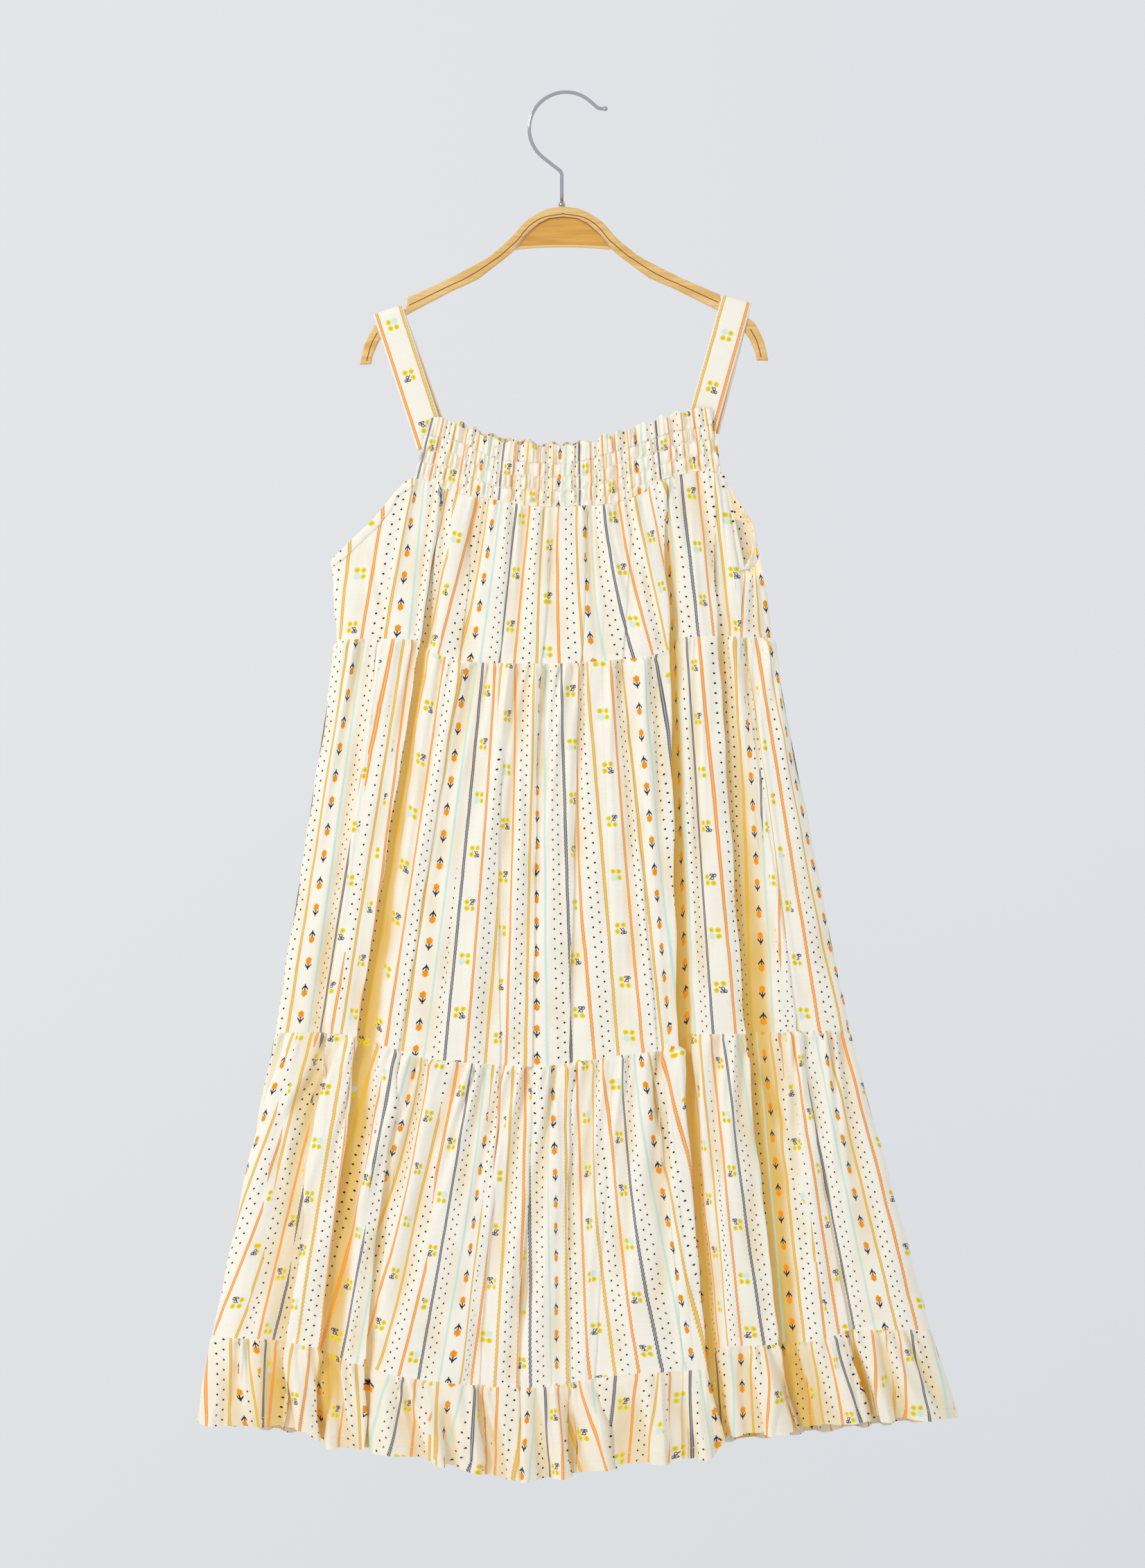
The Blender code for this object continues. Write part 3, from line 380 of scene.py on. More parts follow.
# %% How much cloth has passed at places along each seam
CLOTH_AT = {
    # panel and edge: cloth passed, x
    "bodice_top": (
        (20.2, -170.4), (33.8, -157.8), (51.8, -133.6), (69.7, -111.4), (78.5, -108.3), (87.1, -102.3),
        (103.5, -93.2), (122.2, -86.1), (140.4, -79.3), (158.3, -64.9), (176.2, -56.3), (193.7, -46.9),
        (213.1, -35.8), (228.8, -26.5), (246.9, -15.4), (264.9, -5.4), (282.8, 7.8), (300.2, 17.9),
        (319.7, 27.4), (335.3, 38.5), (353.5, 50.4), (371.4, 60.7), (389.4, 69.2), (397.9, 72.5),
        (406.8, 76.0), (426.2, 83.7), (441.9, 96.6), (460.1, 107.6), (467.1, 113.4), (477.2, 130.0),
    ),
    "bodice_low": (
        (27.8, -166.9), (33.8, -164.9), (51.8, -149.2), (69.7, -131.6), (78.5, -123.5), (87.1, -114.4),
        (103.5, -106.8), (136.3, -103.3), (140.4, -101.3), (158.3, -93.0), (176.2, -77.6), (193.7, -62.4),
        (213.1, -48.6), (228.8, -37.6), (246.9, -21.3), (264.9, -4.8), (282.8, 11.9), (300.2, 29.0),
        (319.7, 49.6), (335.3, 63.2), (353.5, 74.3), (396.4, 77.5), (406.8, 80.5), (414.1, 85.1),
        (426.2, 96.6), (441.9, 107.6), (460.1, 119.6), (469.6, 126.5),
    ),
    "tier_2_top": (
        (52.0, -166.9), (69.7, -157.8), (78.5, -152.8), (87.1, -147.2), (100.0, -137.1), (116.2, -133.1),
        (122.2, -125.5), (140.4, -117.9), (158.3, -111.9), (164.1, -107.3), (176.2, -101.8),
        (252.5, -96.2), (256.0, -93.2), (264.9, -88.1), (282.8, -78.0), (291.4, -72.0), (300.2, -65.9),
        (319.7, -60.3), (335.3, -51.8), (353.5, -46.7), (371.4, -36.1), (389.4, -23.0), (397.9, -18.9),
        (406.8, -15.4), (426.2, -3.3), (441.9, 8.8), (460.1, 15.4), (478.0, 32.6), (495.9, 40.7),
        (504.5, 49.2), (513.3, 55.8), (532.8, 65.9), (540.4, 74.0), (608.5, 78.5), (619.9, 81.6),
        (639.3, 87.6), (655.0, 96.7), (665.6, 109.8), (702.0, 117.9), (709.0, 123.0), (726.4, 127.0),
        (770.1, 129.0), (779.7, 131.0), (797.6, 138.1), (815.6, 144.2), (824.2, 146.7), (835.8, 149.7),
    ),
    "tier_2_low": (
        (56.6, -211.3), (69.7, -203.1), (78.5, -194.7), (87.1, -187.6), (106.6, -178.7), (122.2, -170.6),
        (140.4, -163.6), (154.0, -152.8), (176.2, -147.7), (250.0, -143.2), (256.0, -139.3),
        (264.9, -131.1), (282.8, -118.9), (291.4, -109.8), (300.2, -103.4), (319.7, -88.3), (335.3, -73.2),
        (353.5, -58.8), (371.4, -43.7), (389.4, -29.7), (397.9, -21.0), (406.8, -13.4), (426.2, 4.5),
        (441.9, 21.0), (460.1, 38.1), (478.0, 56.3), (495.9, 70.7), (504.5, 76.8), (509.0, 81.1),
        (608.5, 86.1), (611.0, 88.1), (619.9, 94.2), (639.3, 107.1), (655.0, 123.5), (664.6, 130.5),
        (704.5, 134.1), (709.0, 135.6), (717.6, 144.2), (726.4, 151.1), (737.3, 158.3), (772.6, 164.4),
        (779.7, 168.2), (797.6, 184.8), (815.6, 201.2), (825.2, 206.3),
    ),
    "tier_3_top": (
        (0.0, -211.3), (19.4, -204.8), (36.9, -198.4), (63.6, -193.8), (72.7, -184.6), (90.9, -180.5),
        (106.6, -177.5), (170.2, -168.9), (179.3, -159.6), (187.9, -154.8), (199.5, -152.3),
        (277.8, -145.7), (285.8, -137.6), (296.9, -133.6), (312.1, -129.5), (319.7, -124.2),
        (339.1, -112.6), (356.5, -105.1), (374.5, -97.0), (410.6, -79.0), (426.2, -68.0), (445.7, -56.8),
        (463.1, -52.8), (481.0, -44.7), (498.9, -38.1), (517.1, -28.8), (552.2, -12.4), (560.8, -9.6),
        (569.6, -0.8), (587.6, 7.8), (605.5, 18.9), (623.7, 27.0), (639.3, 40.7), (658.8, 49.5),
        (676.2, 59.8), (694.1, 69.9), (704.5, 80.5), (782.8, 86.6), (800.7, 90.5), (818.6, 97.7),
        (836.8, 105.2), (852.4, 114.4), (871.9, 125.4), (878.7, 130.5), (972.1, 136.1), (978.4, 138.9),
        (987.0, 143.2), (995.9, 149.2), (1013.8, 155.3), (1049.9, 163.4), (1065.5, 168.8), (1085.0, 180.5),
        (1102.4, 189.6), (1120.3, 201.2), (1127.2, 206.3),
    ),
    "tier_3_low": (
        (48.0, -257.3), (72.7, -240.6), (90.9, -224.1), (106.6, -212.9), (118.2, -204.3), (170.2, -201.2),
        (179.3, -195.9), (191.4, -185.1), (194.4, -182.1), (304.0, -178.5), (312.1, -170.4),
        (319.7, -163.6), (339.1, -152.3), (346.4, -146.7), (386.3, -142.2), (392.4, -137.6),
        (410.6, -121.5), (426.2, -107.3), (445.7, -92.4), (454.2, -86.1), (463.1, -77.0), (481.0, -68.9),
        (498.9, -51.8), (517.1, -35.1), (532.8, -25.5), (552.2, -10.4), (560.8, -6.8), (569.6, 1.3),
        (587.6, 17.9), (605.5, 36.1), (623.7, 53.3), (639.3, 70.4), (658.8, 87.6), (667.4, 93.2),
        (674.2, 101.8), (787.8, 108.8), (808.0, 113.9), (818.6, 117.9), (836.8, 127.9), (852.4, 144.2),
        (864.6, 153.8), (979.7, 159.8), (987.0, 165.9), (995.9, 173.5), (1013.8, 188.6), (1049.9, 198.7),
        (1065.5, 209.8), (1085.0, 225.0), (1093.6, 232.6), (1102.4, 240.9), (1120.3, 255.8),
        (1131.2, 265.4),
    ),
    "ruffle_top": (
        (51.8, -257.3), (69.7, -243.9), (78.5, -237.6), (87.1, -234.6), (176.2, -231.5), (185.1, -226.7),
        (213.1, -218.6), (228.8, -210.5), (246.9, -198.7), (264.9, -186.1), (282.8, -180.0),
        (348.4, -176.5), (353.5, -173.5), (371.4, -162.9), (389.4, -152.8), (393.9, -146.7),
        (397.9, -139.6), (406.8, -128.5), (426.2, -118.4), (441.9, -108.8), (460.1, -102.3),
        (495.9, -93.2), (504.5, -82.6), (513.3, -74.5), (532.8, -66.9), (548.4, -60.3), (584.5, -49.7),
        (602.5, -33.6), (611.0, -26.7), (619.9, -22.5), (639.3, -15.4), (655.0, -5.3), (673.2, 1.3),
        (691.1, 9.8), (727.2, 19.9), (745.9, 36.1), (761.5, 51.3), (779.7, 67.2), (787.8, 71.0),
    ),
    "ruffle_low": (
        (34.8, -268.4), (51.8, -260.3), (69.7, -244.8), (75.8, -235.6), (176.2, -223.5), (213.1, -220.4),
        (228.8, -216.4), (246.9, -206.3), (264.9, -193.2), (275.2, -182.6), (291.4, -177.5),
        (353.5, -173.0), (371.4, -164.5), (389.4, -149.2), (404.0, -146.2), (406.8, -142.7),
        (426.2, -128.5), (441.9, -112.4), (460.1, -100.2), (504.5, -89.8), (513.3, -86.6), (532.8, -71.0),
        (548.4, -58.5), (584.5, -52.3), (602.5, -38.3), (611.0, -29.8), (619.9, -26.0), (639.3, -12.1),
        (655.0, -2.9), (673.2, 10.9), (691.1, 28.8), (745.9, 34.1), (761.5, 44.7), (779.7, 58.7),
        (787.8, 64.9),
    ),
    "ruffle_right_top": (
        (75.8, 71.0), (90.9, 75.5), (106.6, 90.5), (126.0, 97.1), (134.6, 101.8), (222.2, 112.9),
        (232.6, 120.4), (241.1, 127.0), (250.0, 134.4), (267.9, 143.7), (276.7, 149.2), (348.4, 158.3),
        (356.5, 163.4), (392.4, 178.3), (410.6, 188.6), (426.2, 195.2), (454.2, 204.8), (463.1, 208.8),
        (481.0, 222.3), (498.9, 232.6), (517.1, 241.6), (532.8, 251.2), (552.2, 264.4),
    ),
    "ruffle_right_low": (
        (75.8, 64.9), (90.9, 73.7), (106.6, 91.1), (126.0, 106.3), (134.6, 110.8), (138.9, 116.4),
        (224.7, 120.4), (232.6, 124.0), (241.1, 129.5), (250.0, 136.1), (267.9, 146.6), (276.7, 154.8),
        (285.8, 165.8), (292.9, 172.0), (373.7, 177.5), (392.4, 186.6), (410.6, 201.7), (426.2, 213.9),
        (429.2, 218.4), (469.6, 223.0), (481.0, 228.8), (498.9, 241.6), (517.1, 247.2), (532.8, 263.4),
        (552.2, 280.0), (557.5, 285.1),
    ),
}


def cloth_passed(chart, points):
    """Cloth passed at each point of a seam, from a chart by x, and the tucks that hide the rest.

    Where the chart has far more cloth than the seam has length, the surplus is tucked away at one
    place: the passed cloth leaves it out, and a tuck (its place and its cloth) is added to a list.
    """
    along = run_of(steps_of(points))
    reach = np.maximum.accumulate(points[:, 0])
    hidden = reach - points[:, 0]
    rows = np.array(CLOTH_AT[chart])
    at = np.interp(rows[:, 1], reach + 1e-5 * np.arange(len(points)), along)
    keep = np.concatenate([[True], np.diff(np.maximum.accumulate(at)) > 0.4])
    at, passed = at[keep], rows[keep, 0].copy()
    tucks = []
    for k in range(1, len(at)):
        surplus = passed[k] - passed[k - 1] - 1.2 * (at[k] - at[k - 1])
        if surplus > 9.0:
            inside = np.flatnonzero((along > at[k - 1]) & (along < at[k]))
            if not len(inside):
                inside = np.array([np.searchsorted(along, at[k])])
            deepest = inside[len(inside) // 2]
            if hidden[inside].max() > 0.2:
                deepest = inside[np.argmax(hidden[inside])]
            tucks.append((float(deepest), float(surplus)))
            passed[k:] -= surplus
    inside = smooth_through(at, passed, np.clip(along, at[0], at[-1]))
    return inside + np.minimum(along - at[0], 0) + np.maximum(along - at[-1], 0), tucks


def tucked_away(tucks_top, tucks_low, rows_v, columns):
    """Cloth hidden in tucks before each face of a panel. A tuck runs from the upper seam to the lower."""
    pairs, free = [], list(tucks_low)
    for place, size in tucks_top:
        near = min(free, key=lambda tuck: abs(tuck[0] - place), default=None)
        if near and abs(near[0] - place) < 16:
            free.remove(near)
            pairs.append((place, size, *near))
        else:
            pairs.append((place, size, place, 0.0))
    pairs += [(place, 0.0, place, size) for place, size in free]
    v = ((rows_v[1:] + rows_v[:-1]) / 2)[:, None]
    face = np.arange(columns - 1)[None] + 0.5
    total = np.zeros((len(v), columns - 1))
    for top_at, top_size, low_at, low_size in pairs:
        total += (face > top_at * (1 - v) + low_at * v) * (top_size * (1 - v) + low_size * v)
    return total


print("charted places:", sum(len(rows) for rows in CLOTH_AT.values()))

# %% [markdown]
# Gathers are waves whose cloth is longer than the seam that holds it. Their height follows from how
# much cloth is gathered in, fine and steep just under the seam and wider lower down, where the cloth
# falls nearly flat. A panel is a grid of points between two seams, moved along its own outward
# direction by these waves and by a few listed creases.

# %% Panels of the front
CREASES = {
    # panel: x and z of one end, x and z of the other, half width, height
    "bodice": (
        (-88, -300, -98, -398, 2.2, -1.3), (-62, -305, -76, -405, 2.6, 1.1),
        (-38, -306, -46, -412, 2.4, -1.2), (14, -306, 30, -410, 2.6, 1.2),
        (30, -300, 52, -400, 2.2, -1.2), (46, -296, 62, -380, 2.2, 1.3),
        (92, -290, 98, -390, 2.6, 1.1), (-140, -330, -132, -396, 2.6, -1.2),
    ),
    "tier_2": (
        (-66, -430, -100, -690, 4.0, 1.6), (-86, -440, -128, -680, 3.6, 1.4),
        (-40, -430, -60, -600, 3.0, 1.3), (-27, -425, -30, -600, 2.6, -1.5),
        (2, -430, 4, -640, 3.0, 1.5), (26, -430, 40, -660, 3.6, 1.3),
        (56, -420, 72, -690, 4.0, 1.5), (90, -420, 104, -680, 4.0, -1.4),
        (128, -420, 170, -680, 3.6, 1.3), (-150, -420, -190, -680, 4.5, 1.6),
        (-118, -420, -150, -690, 4.0, 1.3),
    ),
    "tier_3": (
        (-180, -706, -214, -772, 3.4, -2.4), (-166, -706, -186, -760, 3.0, 1.8),
        (-196, -720, -210, -830, 4.0, 1.6), (-66, -712, -92, -800, 3.2, -2.4),
        (-56, -716, -80, -850, 3.4, 1.6), (-96, -712, -128, -800, 3.0, -2.0),
        (-30, -716, -42, -850, 3.0, 1.5), (0, -716, 0, -860, 3.0, -1.4),
        (28, -712, 52, -880, 3.6, 1.4), (58, -706, 92, -850, 3.2, -1.8),
        (112, -692, 128, -860, 3.6, 1.6), (134, -694, 178, -800, 3.0, -2.2),
        (160, -690, 196, -790, 3.2, 1.8), (-124, -716, -160, -860, 3.4, 1.6),
    ),
    "ruffle": (),
}
PANELS = (
    # name, lower seam, right end above and below, rows, cloth's waves, hem is free
    ("bodice", 1, (130.0, 127.0), 56, (0.8, 0.9, 1.0), False),
    ("tier_2", 2, (None, None), 112, (1.0, 1.0, 1.1), False),
    ("tier_3", 3, (None, None), 92, (1.0, 1.1, 1.2), False),
    ("ruffle", 4, (None, None), 44, (1.0, 1.3, 1.6), True),
)


def outward(points):
    """Outward direction of a grid of points: rows run down and columns run round the dress."""
    return unit(np.cross(np.gradient(points, axis=0), np.gradient(points, axis=1)))


def softened(values, steps):
    """Values of a grid, averaged with their neighbours across it a number of times."""
    for _ in range(steps):
        values = (values + np.roll(values, 1, 1) + np.roll(values, -1, 1)) / 3
        values[:, 0], values[:, -1] = values[:, 1], values[:, -2]
    return values


def row_shares(rows):
    """Shares of the height, closer together under the upper seam."""
    even = np.linspace(0, 1, rows)
    return 0.55 * even + 0.45 * even**1.7


def waves_on(cloth, down, height, points, calm, sizes, seed, free_hem):
    """How far gathers stand from the panel, from the cloth passed and the distance down."""
    run = np.linalg.norm(np.gradient(points, axis=1), axis=2)
    share = np.clip(softened(np.abs(np.gradient(cloth, axis=1)) / np.maximum(run, 1e-4), 6), 1.03, 2.6)
    steep = np.sqrt(share - 1) / (math.pi * share)
    fine = sizes[0] * 8.0 * steep * ripple(cloth + 0.10 * down, 8.0, seed) * np.exp(-down / 13)
    middle = sizes[1] * 17.0 * steep * ripple(cloth + 0.05 * down, 17.0, seed + 1) * np.exp(-down / 60)
    wide = sizes[2] * 36.0 * steep * ripple(cloth - 0.04 * down, 41.0, seed + 2)
    wide = wide * (0.30 + 0.70 * np.exp(-down / 140)) * 0.62
    if free_hem:
        wide = sizes[2] * 40.0 * steep * ripple(cloth, 44.0, seed + 2) * np.clip(down / 45, 0.12, 1.2)
        middle = middle * 0.8 + 0.9 * ripple(cloth, 21.0, seed + 3) * np.clip(down / 50, 0, 1)
    puff = 0.9 * rising(down, 5) * np.exp(-down / 22)
    sewn = rising(down, 3.5)
    if not free_hem:
        sewn = sewn * rising(height - down, 7)
    return (np.clip(fine + middle + wide, -4.5, 6.0) * calm + puff) * sewn


def along_waves(cloth, base, points):
    """Lays the cloth along the waves: more on their steep sides and less on their tops."""
    before = np.linalg.norm(np.diff(base, axis=1), axis=2)
    after = np.linalg.norm(np.diff(points, axis=1), axis=2)
    longer = after / np.maximum(before, 1e-3)
    extra = np.clip(np.diff(cloth, axis=1), -8, 8) * (longer / softened(longer, 60) - 1)
    moved = np.concatenate([np.zeros((len(cloth), 1)), np.cumsum(extra, axis=1)], axis=1)
    return cloth + moved - softened(moved, 60)


def creased(points, rows):
    """Soft troughs and ridges along straight lines in the front view."""
    total = np.zeros(points.shape[:2])
    for x1, z1, x2, z2, wide, high in rows:
        along = np.array([x2 - x1, z2 - z1], float)
        length = np.hypot(*along)
        along /= length
        x, z = points[..., 0] - x1, points[..., 2] - z1
        at = (x * along[0] + z * along[1]) / length
        off = (x * along[1] - z * along[0]) + 2.0 * np.sin(3.0 * at + x1)
        fade = np.clip(at / 0.25, 0, 1) * np.clip((1 - at) / 0.45, 0, 1)
        beside = np.exp(-(((off - 1.9 * wide) / wide) ** 2))  # the cloth dips the other way next to it
        total += high * fade * (np.exp(-((off / wide) ** 2)) - 0.45 * beside)
    return total


def from_ends(columns, reach):
    """1 along a row of points, falling to 0 at its two ends."""
    number = np.arange(columns)
    return rising(np.minimum(number, number[::-1]), reach)[None]


def painted_fold_shade(deep, stand, ruffled):
    """Painted warm shade: deep folds, the troughs between gathers, and a little over the whole ruffle."""
    return np.clip(deep + 0.28 * np.clip(-stand / 1.6, 0, 1.3) + (0.12 if ruffled else 0.0), 0, 1)


RUFFLE_JOINT = 71.0  # x where the ruffle's two strips are sewn together


def front_panel(name, seam, right_ends, rows, sizes, free_hem, seed):
    """Points of a front panel, the cloth passed across and down it, and the painted warm shade of its
    folds and gathers.
    """
    top, dip_top = front_seam(places, seam - 1, right_ends[0])
    low, dip_low = front_seam(places, seam, right_ends[1])
    v = row_shares(rows)[:, None]
    points = top[None] * (1 - v[..., None]) + low[None] * v[..., None]
    grown = v ** growths[None] if name == "bodice" else v
    points[..., 1] = top[None, :, 1] * (1 - grown) + low[None, :, 1] * grown
    dip = dip_top[None] * (1 - grown) + dip_low[None] * grown
    cloth_top, tucks_top = cloth_passed(name + "_top", top)
    cloth_low, tucks_low = cloth_passed(name + "_low", low)
    cloth = cloth_top[None] * (1 - v) + cloth_low[None] * v
    tucked = tucked_away(tucks_top, tucks_low, v[:, 0], len(places))
    phase = cloth.copy()
    if name == "ruffle":
        right_top, right_tucks_top = cloth_passed("ruffle_right_top", top)
        right_low, right_tucks_low = cloth_passed("ruffle_right_low", low)
        right = right_top[None] * (1 - v) + right_low[None] * v
        joint = int(np.abs(top[:, 0] - RUFFLE_JOINT).argmin())
        cloth[:, joint:] = -right[:, joint:]
        right_tucked = tucked_away(right_tucks_top, right_tucks_low, v[:, 0], len(places))
        tucked[:, joint:] = -right_tucked[:, joint:]
        phase[:, joint:] = phase[:, joint - 1 : joint] + right[:, joint:] - right[:, joint - 1 : joint]
    height = np.maximum(top[:, 2] - low[:, 2], 5.0)[None]
    down = v * height
    deep = np.clip((dip - 1.2) / 6.5, 0, 1)
    ends = from_ends(len(places), 10.0)
    stand = waves_on(phase, down, height, points, (1 - 0.7 * deep) * ends, sizes, seed, free_hem)
    stand += 0.9 * cloud(points[..., 0], points[..., 2], 46.0, seed) * off_seams(down, height, 20)
    stand += creased(points, CREASES[name]) * off_seams(down, height, 6)
    base = points
    points = points + outward(points) * stand[..., None]
    if free_hem:
        points[..., 2] += rising(down, height) ** 2 * (0.20 * dip - 0.35 * stand)
    if name == "bodice":  # the armholes are cut out of it, so its print is level with the lower seam
        down = down + height.max() - height
    return points, along_waves(cloth, base, points), down, painted_fold_shade(deep, stand, free_hem), tucked


front_panels = {}
for seed, (name, seam, right_ends, rows, sizes, free_hem) in enumerate(PANELS):
    front_panels[name] = front_panel(name, seam, right_ends, rows, sizes, free_hem, 1.3 + 2.1 * seed)
    print(name, "front:", front_panels[name][0].shape[:2], "points")

# %% [markdown]
# The back isn't in the photograph. A dress of this kind repeats the front: the same panels, gathered
# in the same way, with fewer and softer folds because it lies against nothing and hangs freely.

# %% Panels of the back
BACK_VALLEYS = (
    # share of the width from the right side, half widths and depths at the five seams
    (0.27, (12, 12, 14, 14, 12), (0, 4, 6, 7, 7)),
    (0.52, (12, 10, 12, 12, 11), (0, 3, 5, 6, 6)),
    (0.77, (12, 12, 14, 14, 12), (0, 4, 6, 7, 7)),
)
BACK_CLOTH = {
    # cloth gathered into the back, and the number of points across and down
    "bodice": (420.0, 300, 44),
    "tier_2": (760.0, 360, 80),
    "tier_3": (960.0, 380, 66),
    "ruffle": (1080.0, 400, 36),
}


def back_seam(share, seam, lead_from=None):
    """Points of a back seam, from the right side round to the left one."""
    if seam == 0:
        x, z, y = (smooth_through(column(BACK_TOP, 0), column(BACK_TOP, k), share) for k in (1, 2, 3))
        return np.stack([x, y, z], axis=-1)
    x, y, _ = half_section(seam, back=True)
    x, y = x[::-1], y[::-1]
    if lead_from is not None:
        front_x, front_y, _ = half_section(seam)
        lead = front_x > lead_from
        x, y = np.concatenate([front_x[lead], x]), np.concatenate([front_y[lead], y])
    run = run_of(np.hypot(np.diff(x), np.diff(y)))
    run /= run[-1]
    z = smooth_through(column(BACK_Z, 0), column(BACK_Z, seam), share)
    return np.stack([np.interp(share, run, x), np.interp(share, run, y), z], axis=-1)


def back_panel(name, seam, right_ends, sizes, free_hem, seed):
    """Points of a back panel, and the same values as for a front one."""
    width, columns, rows = BACK_CLOTH[name]
    share = np.linspace(0, 1, columns)
    share = share - 0.5 * np.sin(2 * math.pi * share) / (2 * math.pi) * 0.5
    top = back_seam(share, seam - 1, right_ends[0])
    low = back_seam(share, seam, right_ends[1])
    v = row_shares(rows)[:, None]
    points = top[None] * (1 - v[..., None]) + low[None] * v[..., None]
    dip = np.zeros(points.shape[:2])
    for at, widths, depths in BACK_VALLEYS:
        middle = [back_seam(np.array([at]), s)[0, 0] for s in (seam - 1, seam)]
        at_x = middle[0] * (1 - v) + middle[1] * v + 5.0 * np.sin(points[..., 2] / 70.0 + at)
        wide = widths[seam - 1] * (1 - v) + widths[seam] * v
        depth = depths[seam - 1] * (1 - v) + depths[seam] * v
        dip = np.maximum(dip, depth * np.exp(-(((points[..., 0] - at_x) / wide) ** 2)))
    dip = dip * np.clip(points[..., 1] / 5.0, 0, 1)
    points[..., 1] -= dip
    start = front_panels[name][1][:1, -1:] + front_panels[name][4][:1, -1:]
    cloth = np.broadcast_to(start + width * share, dip.shape)
    height = np.maximum(top[:, 2] - low[:, 2], 5.0)[None]
    down = v * height
    deep = np.clip((dip - 1.5) / 8.0, 0, 1)
    ends = from_ends(columns, 8.0)
    calm = (1 - 0.6 * rising(dip, 7.0)) * ends
    stand = waves_on(cloth, down, height, points, calm, sizes, seed, free_hem)
    stand += 1.1 * cloud(points[..., 0], points[..., 2], 60.0, seed) * off_seams(down, height, 20) * ends
    base = points
    points = points + outward(points) * stand[..., None]
    if free_hem:
        points[..., 2] += rising(down, height) ** 2 * (0.20 * dip - 0.35 * stand)
    # The fold attribute of the back is painted warm shade, as on the front.
    deep = painted_fold_shade(deep, stand, free_hem)
    if name == "bodice":  # near the right armhole its inner side is seen, with light coming through
        # Near the right armhole the fold attribute goes below zero: painted light, for light coming
        # through to the inner side, in place of painted shade.
        inner = np.clip(1.6 - share / 0.09, 0, 1)[None] * np.clip((points[..., 2] + 358) / 10, 0, 1)
        deep = deep * (1 - inner) - 0.5 * inner
        down = down + height.max() - height
    return points, along_waves(cloth, base, points), down, deep, 0.0


back_panels = {}
for seed, (name, seam, right_ends, rows, sizes, free_hem) in enumerate(PANELS):
    back_panels[name] = back_panel(name, seam, right_ends, sizes, free_hem, 9.7 + 1.9 * seed)
    print(name, "back:", back_panels[name][0].shape[:2], "points")


# %% A mesh from a grid of points
def into_scene(name, data):
    """An object at the origin that shows this mesh, lamp or camera."""
    made = bpy.data.objects.new(name, data)
    bpy.context.scene.collection.objects.link(made)
    return made


def smooth(mesh):
    """Shades every face of a mesh smooth."""
    for face in mesh.polygons:
        face.use_smooth = True


def grid_faces(rows, columns):
    """The four point numbers of each face of a grid, facing outwards."""
    number = np.arange(rows * columns).reshape(rows, columns)
    corners = [number[:-1, :-1], number[1:, :-1], number[1:, 1:], number[:-1, 1:]]
    return np.stack(corners, axis=-1).reshape(-1, 4)


def cloth_mesh(name, points, cloth, down, deep, tucked=0.0, turned=False):
    """A sheet whose UV is the place on the flat cloth in metres, with painted shade, and below zero
    painted light, in its fold attribute.
    """
    rows, columns = points.shape[:2]
    quads = grid_faces(rows, columns)
    mesh = bpy.data.meshes.new(name)
    mesh.from_pydata((points.reshape(-1, 3) * MM).tolist(), [], quads.tolist())
    flat = np.stack([cloth, np.broadcast_to(-down, cloth.shape)], axis=-1).reshape(-1, 2)[quads]
    flat[..., 0] += np.broadcast_to(tucked, (rows - 1, columns - 1)).reshape(-1, 1)
    flat *= -MM if turned else MM
    uv = mesh.uv_layers.new(name="cloth")
    uv.data.foreach_set("uv", flat.astype(np.float32).ravel())
    layer = mesh.attributes.new("fold", "FLOAT", "POINT")
    layer.data.foreach_set("value", np.clip(deep, -1, 1).astype(np.float32).ravel())
    mesh.update()
    smooth(mesh)
    return into_scene(name, mesh)


def flat_size(points):
    """Mean width and length along a sheet, in metres: the size of what shows, laid flat."""
    across = np.linalg.norm(np.diff(points, axis=1), axis=2).sum(axis=1).mean()
    down = np.linalg.norm(np.diff(points, axis=0), axis=2).sum(axis=0).mean()
    return float(across) * MM, float(down) * MM


pieces = {}


def sew_in(piece, node, points, **sheet):
    """Puts a sheet of cloth in place of a solid: attaches it, hides the solid and prints its flat size."""
    size = flat_size(points)
    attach(piece, "root")
    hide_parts(node)
    pieces[node] = piece
    print(node, "laid flat:", tuple(round(v, 3) for v in size), "m")


for side, panels in (("front", front_panels), ("back", back_panels)):
    for name, panel in panels.items():
        node = f"{name}_{side}"
        piece = cloth_mesh(node + "_cloth", *panel, turned=(name == "tier_3"))
        held = "gathered" if name != "bodice" else "hung"
        sew_in(piece, node, panel[0], held=held, rests_on=[], area=None)

# %% [markdown]
# The yoke is shirred: rows of elastic thread, one every centimetre, pull the cloth to about half its
# width, and it puffs out between them. Above the first row a narrow frill stands free. The same grid
# of points serves, with waves that shrink at each row of thread and step sideways from band to band.

# %% The shirred yoke
HEADING = 13.0  # height of the frill above the first row of thread
STITCH_ROW = 10.0
YOKE_LEFT, YOKE_RIGHT = -110.8, 113.4  # ends of its lower edge
YOKE_CLOTH = 403.5  # cloth gathered into each half
YOKE_START = -4.5  # place on the cloth of its left end
BACK_YOKE_EDGE = slice(5, 10)  # rows of BACK_TOP that lie along the yoke


